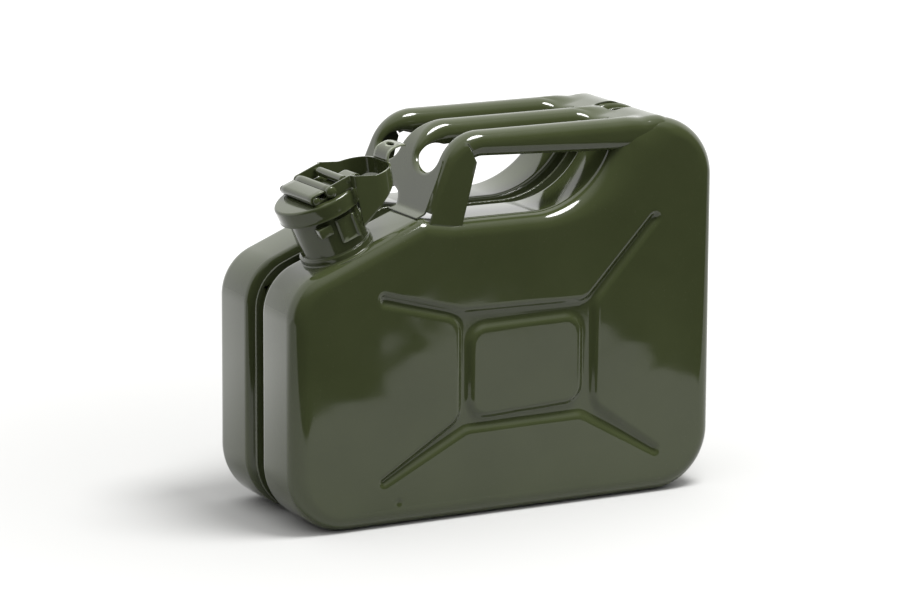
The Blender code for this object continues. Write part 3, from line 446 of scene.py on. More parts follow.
def body_half(name, side, hole):
    """One pressed half: its sheet's inside and outside as loops, and its broad side as a fine grid. With the
    filler hole comes the small dent, low on the same half."""
    shape = bmesh.new()
    inner_face = rounded_outline(edge_corners)
    inner_band = rounded_outline(band_corners, sheet)
    outer_band = rounded_outline(band_corners)
    band_edge = width / 2 - edge_depth

    def edge_loops(band, far_face, steps):
        for step in range(steps + 1):
            angle = math.pi / 2 * step / steps
            across = side * (band_edge + (far_face - band_edge) * math.sin(angle))
            share = 1 - math.cos(angle)
            yield [Vector((b.x + (e.x - b.x) * share, across, b.y + (e.y - b.y) * share))
                   for b, e in zip(band, inner_face)]

    def seam_loop(across, down):
        return [Vector((p.x, side * across, p.y)) for p in rounded_outline(band_corners, down)]

    outlines = list(edge_loops(inner_band, width / 2 - inner_reach, inner_steps))[::-1]
    outlines += [seam_loop(across, down) for across, down in inner_section + groove_section]
    outlines += edge_loops(outer_band, width / 2, edge_steps)
    loops = [loop_of(shape, points) for points in outlines]
    for low, high in zip(loops, loops[1:]):
        bmesh.ops.bridge_loops(shape, edges=low + high)
    bmesh.ops.edgeloop_fill(shape, edges=loops[0])
    bmesh.ops.edgeloop_fill(shape, edges=loops[-1])
    if hole:
        open_filler_hole(shape)
    outer = side * width / 2
    flat = max(shape.faces, key=lambda face: (round(side * face.calc_center_median().y, 5), face.calc_area()))
    bmesh.ops.delete(shape, geom=[flat], context="FACES_ONLY")
    low, high = (Vector(map(pick, zip(*face_outline))) for pick in (min, max))
    extent = high - low
    columns, layers = (round(reach / face_pitch) for reach in extent)
    spots = bmesh.ops.create_grid(shape, x_segments=columns, y_segments=layers, size=0.5)["verts"]
    places = np.array([(low.x + (s.co.x + 0.5) * extent.x, low.y + (s.co.y + 0.5) * extent.y) for s in spots])
    rims = outline_distances(places, face_outline)
    sinks = face_sinks(places, rims)
    if hole:
        sinks += pit_depth * np.exp(-np.sum((places - pit_place) ** 2, axis=1) / pit_radius**2)
    for spot, place, sink in zip(spots, places, sinks):
        spot.co = (place[0], outer - side * sink, place[1])
    outside = [spot for spot, rim in zip(spots, rims) if rim < face_pitch]
    bmesh.ops.delete(shape, geom=outside, context="VERTS")
    ragged = [e for e in shape.edges if len(e.link_faces) == 1]
    bmesh.ops.triangle_fill(shape, use_beauty=True, use_dissolve=False, edges=ragged)
    return finish_mesh(name, shape)


def cut_out(shape, region, cuts):
    """Cut a convex patch out of some faces by straight cuts, each through a point with its outward normal."""
    for spot, outward in cuts:
        geom = list({e for f in region for e in f.edges} | {v for f in region for v in f.verts}) + region
        made = bmesh.ops.bisect_plane(shape, geom=geom, plane_co=spot, plane_no=outward)
        pieces = {g for g in made["geom"] if isinstance(g, bmesh.types.BMFace)}
        region = [f for f in pieces if (f.calc_center_median() - spot).dot(outward) < 0]
    bmesh.ops.delete(shape, geom=region, context="FACES")


def open_filler_hole(shape):
    """Cut the filler hole through the shoulder's two walls and join their rims."""
    into_frame = closure_matrix.inverted()
    reach = neck_radius + 2 * seam_gap

    def near_neck(face):
        spot = into_frame @ face.calc_center_median()
        return abs(spot.x) < 2 * reach and abs(spot.y) < 1.5 * reach and -0.6 * reach < spot.z < 0.2 * reach

    cuts = []
    for cut in range(hole_sides):
        turn = 2 * math.pi * cut / hole_sides
        outward = closure_matrix.to_3x3() @ Vector((math.cos(turn), math.sin(turn), 0.0))
        cuts.append((closure_place + outward * reach, outward))
    cut_out(shape, [face for face in shape.faces if near_neck(face)], cuts)
    rim = [e for e in shape.edges if len(e.link_faces) == 1]
    bmesh.ops.bridge_loops(shape, edges=rim)


for label, side in (("near", -1), ("far", 1)):
    half_mesh = body_half("body_half_" + label, side, label == "near")
    add_piece("body_half_" + label, half_mesh, "can", body_paint, [label + "_shell"], sharp=62.0)


# Handle pressing: one 1.2 mm sheet, spot-welded to the body. Its web leans back from a lip on the shoulder,
# three legs between two dips turn over into bars whose edges curl under, and the bars run out into a ridged
# plate over the rear corner. Its outer edges are folded into flanges, split off where the bars begin.
handle_sheet = 0.0012
bar_spacing = 0.0515
bar_radius = 0.0100
bar_top = 0.2815
curl_turn = math.radians(145)
web_turn = math.radians(68)
lip_start = (-0.07109, 0.22253)
lip_end = 0.0060
web_start = 0.0084
web_end = 0.0455
bend_end = 0.0847
path_end = 0.2462
line_step = 0.0001
web_steps = 700
dip_start_height = 0.2480
dip_end_height = 0.2625
bend_radius = 0.0330
slit_turn = math.radians(27.6)
line_places = np.arange(0.0, path_end + line_step, line_step)
line_turns = np.interp(
    line_places,
    [0.0, lip_end, web_start, web_end, bend_end],
    [shoulder_tilt, shoulder_tilt, web_turn, web_turn, 0.0],
)
line_x = lip_start[0] + np.concatenate(([0.0], np.cumsum(np.cos(line_turns[1:])) * line_step))
line_z = lip_start[1] + np.concatenate(([0.0], np.cumsum(np.sin(line_turns[1:])) * line_step))
line_z += bar_top - line_z[-1]

dip_start = float(np.interp(dip_start_height, line_z[:web_steps], line_places[:web_steps]))
dip_end = float(np.interp(dip_end_height, line_z[:web_steps], line_places[:web_steps]))
dip_place = 0.0310
rim_radius = 0.0038
roll_lead = 0.004
bar_flat = 0.0005
middle_leg = 0.0090
outer_leg = 0.0012
slit_place = bend_end - bend_radius * slit_turn
slit_width = 0.0007
saddle_start = 0.0985
saddle_end = 0.1420
saddle_sink = 0.0140
open_start = 0.0850
open_end = 0.1040
soft_rise = 0.0020
tail_start = 0.128
tail_sink = 0.0015
ridge_half_width = 0.0160
notch_start = 0.1120
notch_half_width = 0.0150
notch_radius = 0.0050
arch_half_width = 0.0120
arch_top = 0.2360
flange_low = (-0.0376, 0.2131)
flange_high = (-0.0254, 0.2600)
flange_drop = 0.0085
fold_radius = 0.0060
fold_radius_on_bar = 0.0097
flat_columns = 6
curl_columns = 14

bay_rear = 0.0930
valley_front = 0.0975
band_points = sorted(tuple(p) for p in rounded_outline(band_corners) if p.x > bay_rear and p.y > 0.25)
band_x, band_z = zip(*band_points)
dip_turns = [math.pi / 2 * i / 22 for i in range(23)]
dip_places = [dip_end - (dip_end - dip_start) * math.cos(turn) for turn in dip_turns]
lip_rows = 7
row_places = [web_start * i / lip_rows for i in range(lip_rows)]
row_places += [web_start + (dip_start - web_start) * i / 9 for i in range(9)]
row_places += dip_places
row_places += [dip_end + (slit_place - dip_end) * i / 10 for i in range(1, 11)]
straight_end = bend_end + open_start - float(np.interp(bend_end, line_places, line_x))
row_places += [slit_place + slit_width + (bend_end - slit_place - slit_width) * i / 9 for i in range(9)]
row_places += [bend_end + (straight_end - bend_end) * i / 40 for i in range(41)]
row_places += [straight_end + (path_end - straight_end) * i / 44 for i in range(1, 45)]


def sheet_spot(place, across, depth, rise=0.0, straight=False):
    """A point of the sheet at a place along its line, moved across the can, inwards and along the line. A
    straight one keeps the web's heading before the web's start."""
    beyond = min(place - web_start, 0.0) if straight else 0.0
    place -= beyond
    turn = float(np.interp(place, line_places, line_turns))
    along = rise + beyond
    x = float(np.interp(place, line_places, line_x)) + along * math.cos(turn) + depth * math.sin(turn)
    z = float(np.interp(place, line_places, line_z)) + along * math.sin(turn) - depth * math.cos(turn)
    return Vector((x, across, z))


def smooth_share(value, low, high):
    share = min(max((value - low) / (high - low), 0.0), 1.0)
    return share * share * (3 - 2 * share)


def ridge_top(x):
    share = max((x - saddle_start) / (saddle_end - saddle_start), 0.0)
    return bar_top - saddle_sink * share * share


def lift_over(rise):
    """The positive part of a rise, with a soft start."""
    return (rise + math.sqrt(rise * rise + soft_rise ** 2)) / 2


def valley_level(x):
    rest = float(np.interp(max(x, valley_front), band_x, band_z)) + handle_sheet
    return rest - smooth_share(x, tail_start, saddle_end) * (handle_sheet + tail_sink)


def inner_row(place, axis, side):
    """One row of a bar's half from its middle line to its curled edge, or on to the next bar."""
    dip = min(max((place - dip_start) / (dip_end - dip_start), 0.0), 1.0)
    turn = math.acos(1 - dip)
    rolled = smooth_share(place, dip_end - roll_lead, bend_end - roll_lead)
    reach = dip_place if axis == 0.0 else bar_spacing - dip_place
    leg = middle_leg if axis == 0.0 else outer_leg
    leg += (bar_flat - leg) * rolled
    flat = reach + (leg - reach) * math.sin(turn)
    radius = rim_radius + (bar_radius - bar_flat - rim_radius) * rolled
    curl = math.radians(90) + (curl_turn - math.radians(90)) * rolled
    spots = []
    for i in range(flat_columns + 1):
        spots.append((flat * i / flat_columns, 0.0, 0.0))
    if place >= dip_start - 1e-9:
        for i in range(1, curl_columns + 1):
            bend = curl * i / curl_columns
            out = radius * math.sin(bend)
            spots.append((flat + out * math.sin(turn), radius * (1 - math.cos(bend)), out * math.cos(turn)))
    x = sheet_spot(place, 0.0, 0.0).x
    opened = smooth_share(x, open_start, open_end)
    row = []
    for i, (out, depth, rise) in enumerate(spots):
        spot = sheet_spot(place, axis + side * out, depth, rise)
        spot.z += ridge_top(x) - bar_top
        if opened:
            reach = i / (flat_columns + curl_columns) * bar_spacing / 2
            fade = (1 + math.cos(math.pi * min(reach / ridge_half_width, 1.0))) / 2
            level = valley_level(x)
            spread = Vector((x, axis + side * reach, level + lift_over(ridge_top(x) - level) * fade))
            spot = spot.lerp(spread, opened)
        row.append(spot)
    return row


def outer_row(place, side, part):
    """One row of an outer bar's outer half: part 0 is its flat top and fold, 1 its flange, 2 its curl."""
    widened = smooth_share(place, web_start + 0.015, bend_end - 0.012)
    radius = fold_radius + (fold_radius_on_bar - fold_radius) * widened
    flat = bar_radius - radius
    axis = side * bar_spacing
    if part == 0:
        spots = [(flat * i / flat_columns, 0.0) for i in range(flat_columns + 1)]
        if place >= web_start - 1e-9:
            turns = [math.radians(60) * i / 6 for i in range(1, 7)]
            spots += [(flat + radius * math.sin(t), radius * (1 - math.cos(t))) for t in turns]
    else:
        turns = [math.radians(60 + 30 * i / 4) for i in range(5)]
        spots = [(flat + radius * math.sin(t), radius * (1 - math.cos(t))) for t in turns]
    x = sheet_spot(place, 0.0, 0.0).x
    if part == 2:
        drop = float(np.interp(x, (-0.020, 0.1046), (0.0, 0.0055)))
        spots.append((bar_radius, radius + drop))
        for i in range(1, 9):
            bend = (curl_turn - math.radians(90)) * i / 8
            spots.append((flat + radius * math.cos(bend), radius + drop + radius * math.sin(bend)))
    lift = ridge_top(x)
    lift += smooth_share(x, open_start, open_end) * lift_over(valley_level(x) - lift) - bar_top
    row = [sheet_spot(place, axis + side * out, depth, 0.0, part == 1) for out, depth in spots]
    row = [spot + Vector((0.0, 0.0, lift)) for spot in row]
    if part == 1:
        share = (place - web_start + flange_drop) / (slit_place - web_start + flange_drop)
        edge = Vector((0.0, row[-1].y, 0.0))
        edge.x = flange_low[0] + (flange_high[0] - flange_low[0]) * share
        edge.z = flange_low[1] + (flange_high[1] - flange_low[1]) * share
        row += [row[-1].lerp(edge, i / 8) for i in range(1, 9)]
    return row


def grid_patch(shape, rows):
    """A grid of faces through equally long rows of points."""
    made = bmesh.ops.create_grid(shape, x_segments=len(rows[0]) - 1, y_segments=len(rows) - 1, size=0.5)
    for spot, point in zip(made["verts"], [point for row in rows for point in row]):
        spot.co = point


def cut_middle(row, place, side):
    """The middle bar's row without its arch over the seam in front and its notch over the seam behind."""
    x, z = row[0].x, row[0].z
    start = 0.0
    if place < dip_start:
        above = z - (arch_top - arch_half_width)
        start = arch_half_width if above < 0 else math.sqrt(max(arch_half_width ** 2 - above ** 2, 0.0))
    elif x > notch_start:
        inside = max(notch_start + notch_radius - x, 0.0) / notch_radius
        start = notch_half_width - notch_radius + notch_radius * math.sqrt(max(1 - inside ** 2, 0.0))
    if not start:
        return row
    reaches = [abs(spot.y) for spot in row]
    last = len(row) - 1
    cut = []
    for i in range(len(row)):
        reach = start + (reaches[last] - start) * i / last
        cut.append(Vector([float(np.interp(reach, reaches, [spot[k] for spot in row])) for k in range(3)]))
        cut[-1].y = side * reach
    return cut


def handle_mesh():
    """The handle pressing's sheet: the bars' inner sides, then the outer bars' sides and flanges."""
    shape = bmesh.new()
    joined = [place for place in row_places if place <= dip_start + 1e-9]
    curled = [place for place in row_places if place >= dip_start - 1e-9]
    for axis, side in ((-bar_spacing, 1), (0.0, -1), (0.0, 1), (bar_spacing, -1)):
        for places, first in ((joined, True), (curled, False)):
            rows = []
            for place in places:
                row = inner_row(place, axis, side)
                row = row[:flat_columns + 1] if first else row
                rows.append(cut_middle(row, place, side) if axis == 0.0 else row)
            grid_patch(shape, rows)
    extra = [web_start - flange_drop * (1 - i / 5) for i in range(5)]
    folded = [place for place in row_places if web_start - 1e-9 <= place <= slit_place + 1e-9]
    curled = [place for place in row_places if place >= slit_place + slit_width - 1e-9]
    for side in (-1, 1):
        grid_patch(shape, [outer_row(place, side, 0) for place in row_places if place < web_start])
        last_of_lip = (row_places[lip_rows - 1], web_start)
        grid_patch(shape, [outer_row(place, side, 0)[:flat_columns + 1] for place in last_of_lip])
        grid_patch(shape, [outer_row(place, side, 0) for place in row_places if place >= web_start - 1e-9])
        grid_patch(shape, [outer_row(place, side, 1) for place in extra + folded])
        grid_patch(shape, [outer_row(place, side, 2) for place in curled])
    bmesh.ops.remove_doubles(shape, verts=shape.verts, dist=0.00003)
    bmesh.ops.recalc_face_normals(shape, faces=shape.faces)
    top = max(shape.faces, key=lambda face: face.calc_center_median().z)
    if top.normal.z < 0:
        bmesh.ops.reverse_faces(shape, faces=shape.faces)
    mesh = bpy.data.meshes.new("handle_pressing")
    shape.to_mesh(mesh)
    shape.free()
    return mesh


def thicken(piece, thickness, edge=0.00035):
    """Give a sheet its thickness on its inner side, with slightly rounded edges."""
    wall = piece.modifiers.new("thickness", "SOLIDIFY")
    wall.thickness = thickness
    wall.offset = -1.0
    rounding = piece.modifiers.new("edges", "BEVEL")
    rounding.width = edge
    rounding.segments = 2
    rounding.limit_method = "ANGLE"
    rounding.angle_limit = math.radians(50)


handle_nodes = ["front_bracket", "handle_bar_near", "handle_bar_middle", "handle_bar_far", "rear_saddle"]
handle = add_piece("handle_pressing", handle_mesh(), "can", body_paint, handle_nodes)
thicken(handle, handle_sheet)


# Weld bead: where the two flanges meet, a gas weld runs round the whole can in fine, uneven ripples.
# It lies in the groove and is painted over with the body.
bead_radius = 0.0010
bead_depth = 0.0020
bead_steps = 1100
bead_sides = 8
bead_rise = 0.8
bead_spread = 1.15
bead_ripple = 0.10
steps_per_ripple = 4
bead_unevenness = 0.16
bead_sway = 0.00025


def bead_mesh():
    outline = [Vector((p.x, p.y)) for p in rounded_outline(band_corners, bead_depth)]
    outline.append(outline[0])
    lengths = np.concatenate(([0.0], np.cumsum([(b - a).length for a, b in zip(outline, outline[1:])])))
    places = np.linspace(0.0, lengths[-1], bead_steps + 1)
    x_places = np.interp(places, lengths, [p.x for p in outline])
    z_places = np.interp(places, lengths, [p.y for p in outline])
    rows = []
    for i in range(bead_steps + 1):
        after = (i + 1) % bead_steps
        before = (i - 1) % bead_steps
        along = Vector((x_places[after] - x_places[before], z_places[after] - z_places[before])).normalized()
        outward = Vector((along.y, 0.0, -along.x))
        number = i % bead_steps
        uneven = bead_unevenness * noise.noise(Vector((number * 0.11, 3.0, 7.0)))
        ripple = 1 + bead_ripple * math.sin(2 * math.pi * number / steps_per_ripple) + uneven
        sway = bead_sway * noise.noise(Vector((number * 0.05, 8.0, 1.0)))
        spot = Vector((x_places[number], sway, z_places[number]))
        row = []
        for side in range(bead_sides + 1):
            turn = 2 * math.pi * side / bead_sides
            out = outward * math.cos(turn) * bead_rise + Vector((0.0, bead_spread * math.sin(turn), 0.0))
            row.append(spot + out * bead_radius * ripple)
        rows.append(row)
    shape = bmesh.new()
    grid_patch(shape, rows)
    return finish_mesh("seam_weld", shape, 0.00001)


add_piece("seam_weld", bead_mesh(), "can", body_paint, ["seam_weld_bead"], sharp=180.0)


# Filler neck and collar: a drawn steel tube with a rolled mouth, brazed into a pressed ring that lies on the
# shoulder. The braze leaves soft fillets above and below the ring. Painted with the body.
turned_steps = 112
# The fittings' edges are lightened far more than the body's: partly thin paint, partly a painted highlight.
closure_paint = enamel("olive_enamel_fittings", roughness=0.085, peel=0.00003, edge=3.8)


def arc_points(middle, radius, start, end, steps):
    """Points of an arc in degrees, in the plane of a profile."""
    turns = [math.radians(start + (end - start) * i / steps) for i in range(steps + 1)]
    return [(middle[0] + radius * math.cos(t), middle[1] + radius * math.sin(t)) for t in turns]


def turned_mesh(name, profile, closed=False, matrix=closure_matrix):
    """A profile of (radius, height) points, turned about the axis of a frame."""
    shape = bmesh.new()
    outline = profile + profile[:1] if closed else profile
    rows = []
    for step in range(turned_steps + 1):
        turn = 2 * math.pi * step / turned_steps
        rows.append([Vector((r * math.cos(turn), r * math.sin(turn), h)) for r, h in outline])
    grid_patch(shape, rows)
    shape.transform(matrix)
    return finish_mesh(name, shape, 0.000002)


neck_wall = 0.0014
neck_height = 0.0410
neck_bore = neck_radius - neck_wall
neck_profile = arc_points((neck_radius - 0.0004, neck_height - 0.0015), 0.0015, 110, -70, 14)
neck_profile += [(neck_radius, neck_height - 0.0042), (neck_radius, 0.0)]
neck_profile += [(neck_radius, -0.0135), (neck_bore, -0.0135), (neck_bore, neck_height - 0.0030)]
add_piece("neck_tube", turned_mesh("neck_tube", neck_profile, True), "can", closure_paint, ["filler_neck"])

collar_profile = [(neck_radius - 0.0002, 0.0062)]
collar_profile += arc_points((neck_radius + 0.0010, 0.0056), 0.0010, 180, 262, 6)
collar_profile += arc_points((0.0258, 0.0036), 0.0010, 80, 0, 5)
collar_profile += [(0.0268, 0.0014)]
collar_profile += arc_points((0.0280, 0.0010), 0.0012, 180, 258, 6)
collar_profile += [(0.0286, -0.0008), (0.0286, -0.0030), (neck_radius - 0.0002, -0.0030)]
add_piece("neck_ring", turned_mesh("neck_ring", collar_profile, True), "can", closure_paint, ["neck_collar"])


# Breather: a bare steel tube soldered along the rear of the neck's bore, bent to the rear under the shoulder.
breather_radius = 0.0035


def into_closure(points):
    return [closure_matrix @ Vector(point) for point in points]


def tube_mesh(name, path, radius, sides=20):
    """An open tube round a path of closure points that lies in one plane along the neck."""
    rows = []
    for i, spot in enumerate(path):
        along = (Vector(path[min(i + 1, len(path) - 1)]) - Vector(path[max(i - 1, 0)])).normalized()
        across = Vector((0.0, 1.0, 0.0))
        outward = along.cross(across)
        turns = [2 * math.pi * side / sides for side in range(sides + 1)]
        ring = [Vector(spot) + (outward * math.cos(t) + across * math.sin(t)) * radius for t in turns]
        rows.append(into_closure(ring))
    shape = bmesh.new()
    grid_patch(shape, rows)
    return finish_mesh(name, shape, 0.000005)


steel_colour = (0.52, 0.51, 0.49)
bare_steel, steel_tree, steel_shader = new_material("drawn_steel")
stain = noise_at(steel_tree, add_node(steel_tree, "TexCoord").outputs["Object"], 160.0, 5.0)
fill(steel_tree, steel_shader, {
    "Metallic": 1.0,
    "Base Color": mix(steel_tree, stain, (*steel_colour, 1.0), (*(0.62 * c for c in steel_colour), 1.0)),
    "Roughness": span(steel_tree, stain, 0.0, 1.0, 0.28, 0.48),
})

breather_place = neck_bore - breather_radius
breather_line = [(breather_place, 0.0, 0.0360), (breather_place, 0.0, 0.0)]
breather_line += [(u, 0.0, w) for u, w in arc_points((breather_place + 0.012, -0.0135), 0.012, 180, 270, 12)]
breather_line.append((0.0560, 0.0, -0.0255))
breather_mesh = tube_mesh("breather", breather_line, breather_radius)
breather = add_piece("breather", breather_mesh, "can", bare_steel, ["breather_tube"])
thicken(breather, 0.0007, 0.0001)


# Cap lid and gasket: a cup pressed from 1.2 mm sheet whose skirt narrows a little to a rolled lip, and the
# black rubber ring under its top. The lid swings about the hinge pin behind the neck.
lid_top = 0.0455
lid_profile = [(0.0, lid_top), (0.0200, lid_top)]
lid_profile += arc_points((0.0292, lid_top - 0.0020), 0.0020, 90, -4, 10)
lid_profile += [(0.0308, 0.0365), (0.0306, 0.0350)]
lid_profile += arc_points((0.0304, 0.0339), 0.0005, 40, -130, 8)
lid_profile += [(0.0296, 0.0352), (0.0300, 0.0420)]
lid_profile += arc_points((0.0292, lid_top - 0.0020), 0.0009, 0, 90, 6)
lid_profile += [(0.0, lid_top - 0.0012)]
add_piece("cap", turned_mesh("cap", lid_profile), "lid", closure_paint, ["lid_cap"])

rubber, rubber_tree, rubber_shader = new_material("black_rubber")
rubber_grain = noise_at(rubber_tree, add_node(rubber_tree, "TexCoord").outputs["Object"], 900.0)
rubber_relief = {"Distance": 0.00005, "Height": rubber_grain}
fill(rubber_tree, rubber_shader, {
    "Base Color": mix(rubber_tree, rubber_grain, (0.008, 0.008, 0.008, 1.0), (0.022, 0.022, 0.021, 1.0)),
    "Normal": add_node(rubber_tree, "Bump", rubber_relief).outputs["Normal"],
    "Roughness": 0.62,
})
gasket_rims = ((0.0260, 0.0436, 90), (0.0260, 0.0418, 0), (0.0205, 0.0418, 270), (0.0205, 0.0436, 180))
gasket_profile = []
for rim_place, rim_height, rim_turn in gasket_rims:
    gasket_profile += arc_points((rim_place, rim_height), 0.0005, rim_turn, rim_turn - 90, 3)
gasket_mesh = turned_mesh("gasket", gasket_profile, True)
add_piece("gasket", gasket_mesh, "lid", rubber, ["lid_gasket"])


# Straps: 1.5 mm sheet spot-welded across the lid, rolled in front into a small eye and behind it into the
# lever's knuckle, and a narrow strap from the lid over its rear edge down to the hinge pin.
strap_sheet = 0.0015
strap_half_width = 0.0242
front_eye = (-0.0110, 0.0494)
pivot = (0.0020, 0.0500)
hinge = (0.0362, 0.0285)


def strip_mesh(name, path, half_width, columns=8):
    """A strip of sheet across the lid, along a path of (along the shoulder, up the neck) points."""
    shape = bmesh.new()
    reaches = [half_width * (2 * i / columns - 1) for i in range(columns + 1)]
    grid_patch(shape, [into_closure([(u, v, w) for v in reaches]) for u, w in path])
    return finish_mesh(name, shape)


def centre_thicken(piece, thickness, edge=0.0003):
    """Give a sheet its thickness to both sides of its middle."""
    thicken(piece, thickness, edge)
    piece.modifiers["thickness"].offset = 0.0


strap_path = [(-0.0022, 0.0523)] + arc_points(front_eye, 0.00285, 90, 270, 16)
strap_path += arc_points(pivot, 0.00345, 270, 560, 26)
strap_mesh = strip_mesh("lid_bridge", strap_path, strap_half_width)
strap = add_piece("lid_bridge", strap_mesh, "lid", closure_paint, ["lid_strap"])
centre_thicken(strap, strap_sheet)

hinge_eye_radius = 0.00295
hinge_top = 0.04645
hinge_bend = 0.0035
bend_middle = (hinge[0] - hinge_eye_radius - hinge_bend, hinge_top - hinge_bend)
hinge_path = [(0.0072, hinge_top)] + arc_points(bend_middle, hinge_bend, 90, 0, 8)
hinge_path += arc_points(hinge, hinge_eye_radius, 180, 450, 18)
hinge_strap = add_piece(
    "hinge_leaf", strip_mesh("hinge_leaf", hinge_path, 0.0085), "lid", closure_paint, ["hinge_strap"]
)
centre_thicken(hinge_strap, 0.0013)


# Pins: turned steel rivets with domed heads, painted over: in the strap's front eye, in the hinge ears, the
# lever's pivot, and the pressure roller's own pin, whose ends lie flush in the lever's arms.
def across_matrix(place):
    """The frame of a turned piece that lies across the closure at a place."""
    spot = Matrix.Translation((place[0], 0.0, place[1]))
    return closure_matrix @ spot @ Matrix.Rotation(math.pi / 2, 4, "X")


def pin_mesh(name, place, radius, reach, head_radius=0.0, head_height=0.0):
    """A pin across the closure with the same head at both ends."""
    half = [(radius - 0.0003, reach), (radius, reach - 0.0003), (radius, 0.0)]
    if head_height:
        half = arc_points((0.0, 0.0), 1.0, 90, 0, 9)
        half = [(head_radius * c, reach + head_height * s) for c, s in half]
        half += [(head_radius, reach + 0.0001), (head_radius - 0.0003, reach), (radius, reach), (radius, 0.0)]
    else:
        half.insert(0, (0.0, reach))
    profile = half + [(r, -h) for r, h in half[-2::-1]]
    return turned_mesh(name, profile, matrix=across_matrix(place))


roller = (0.0165, 0.0510)
lever_nose = 0.0252
lever_sheet = 0.0014
for name, node, body, place, sizes in (
    ("eye_pin", "strap_pin", "lid", front_eye, (0.0018, 0.0270, 0.0026, 0.0010)),
    ("ear_pin", "hinge_pin", "can", hinge, (0.0020, 0.0116, 0.0031, 0.0013)),
    ("lever_pin", "pivot_pin", "lever", pivot, (0.0024, 0.0262, 0.0042, 0.0021)),
    ("roller_axle", "roller_pin", "lever", roller, (0.0019, lever_nose + lever_sheet / 2)),
):
    add_piece(name, pin_mesh(name, place, *sizes), body, closure_paint, [node])

roller_profile = [(0.0019, 0.0190)] + arc_points((0.0027, 0.0185), 0.0005, 90, 0, 4)
roller_profile += [(0.0032, 0.0170), (0.0032, 0.0)]
roller_profile += [(r, -h) for r, h in roller_profile[-2::-1]]
roller_mesh = turned_mesh("roller", roller_profile, True, across_matrix(roller))
add_piece("roller", roller_mesh, "lever", closure_paint, ["pressure_roller"])


# Fittings on the neck: two cut plates that carry the hinge pin, two bent catches whose turned-out rear edges
# hold the lever's flaps, and two small blocks that a pouring spout clips under. All brazed on and painted.
ear_sheet = 0.0022
ear_radius = 0.0042
ear_inner = 0.0091
ear_corners = [
    (neck_radius - 0.0010, 0.0120, 0.0008, 3),
    (hinge[0] + ear_radius, hinge[1] - 2 * ear_radius, ear_radius, 8),
    (hinge[0] + ear_radius, hinge[1] + ear_radius, ear_radius - 0.0001, 12),
    (neck_radius - 0.0010, hinge[1] + ear_radius, 0.0010, 3),
]
lug_corners = [
    (-0.0180, 0.0220, 0.0012, 4),
    (-0.0075, 0.0220, 0.0012, 4),
    (-0.0075, 0.0295, 0.0012, 4),
    (-0.0180, 0.0295, 0.0012, 4),
]


def plate_mesh(name, outline, low, high, edge):
    """A cut plate or block: an outline in the plane of the neck, stretched across and with rounded edges."""
    shape = bmesh.new()
    face = shape.faces.new([shape.verts.new((p.x, low, p.y)) for p in outline])
    stretched = bmesh.ops.extrude_face_region(shape, geom=[face])["geom"]
    moved = [item for item in stretched if isinstance(item, bmesh.types.BMVert)]
    bmesh.ops.translate(shape, verts=moved, vec=(0.0, high - low, 0.0))
    rims = [e for e in shape.edges if abs(e.verts[0].co.y - e.verts[1].co.y) < 1e-6]
    bmesh.ops.bevel(shape, geom=rims, offset=edge, segments=3, profile=0.5, affect="EDGES", material=-1)
    shape.transform(closure_matrix)
    return finish_mesh(name, shape)


lug_inner = 0.0200
lug_outer = 0.0280
catch_sheet = 0.0018
catch_low = 0.0120
catch_height = 0.0180
catch_path = [(-0.0008, neck_radius - 0.0010), (-0.0028, neck_radius + 0.0010), (-0.0020, 0.0266)]
catch_path += [(-0.0008, 0.0271), (0.0030, 0.0271), (0.0080, 0.0271), (0.0092, 0.0276), (0.0103, 0.0292)]
for label, side in (("near", -1), ("far", 1)):
    ear_faces = sorted((side * ear_inner, side * (ear_inner + ear_sheet)))
    ear_mesh = plate_mesh("ear_" + label, rounded_outline(ear_corners), *ear_faces, 0.0004)
    add_piece("ear_" + label, ear_mesh, "can", closure_paint, ["hinge_ear_" + label])
    lug_faces = sorted((side * lug_inner, side * lug_outer))
    lug_mesh = plate_mesh("spout_block_" + label, rounded_outline(lug_corners), *lug_faces, 0.0008)
    add_piece("spout_block_" + label, lug_mesh, "can", closure_paint, ["spout_lug_" + label])
    catch_shape = bmesh.new()
    heights = [catch_low + catch_height * i / 8 for i in range(9)]
    grid_patch(catch_shape, [into_closure([(u, side * v, w) for w in heights]) for u, v in catch_path])
    catch_mesh = finish_mesh("catch_" + label, catch_shape)
    catch = add_piece("catch_" + label, catch_mesh, "can", closure_paint, ["catch_lug_" + label])
    centre_thicken(catch, catch_sheet, 0.0004)


# Cam lever: a U of 1.4 mm sheet with a round nose on the pivot. Behind the roller its arms step outwards,
# past the lid, and reach down as cam flaps. A slotted thumb tab rises from its rear and bends back.
lever_half_width = 0.0296
lever_rear = 0.0560
lever_bend = 0.0200
lever_level = 0.0450
lever_lean = 0.24
nose_radius = 0.0042
lever_corners = [
    (pivot[0] - nose_radius, pivot[1] - nose_radius, nose_radius, 16),
    (0.0202, pivot[1] - nose_radius, 0.0020, 6),
    (0.0132, 0.0160, 0.0015, 6),
    (0.0360, 0.0265, 0.0030, 6),
    (0.0500, 0.0325, 0.0030, 6),
    (0.0600, 0.0330, 0.0020, 4),
    (0.0600, 0.0435, 0.0020, 4),
    (0.0370, 0.0465, 0.0060, 8),
    (0.0200, 0.0545, 0.0060, 8),
    (pivot[0] - nose_radius, pivot[1] + nose_radius, nose_radius - 0.0001, 16),
]
lever_outline = [(p.x - lever_lean * (p.y - lever_level), p.y) for p in rounded_outline(lever_corners)]
nose_end = 0.0050
step_start = 0.0178
flap_front = 0.0197
flap_lip = 0.0014
split_height = 0.0458
split_fall = 0.0105
lever_columns = 10
tab_half_width = 0.0105
tab_corner = 0.0040
tab_columns = 12
tab_path = [(0.0552, 0.0385), (0.0556, 0.0415), (0.0563, 0.0441), (0.0572, 0.0461), (0.0587, 0.0482)]
tab_path += [(0.0606, 0.0497), (0.0630, 0.0504), (0.0655, 0.0505), (0.0678, 0.0504), (0.0700, 0.0500)]
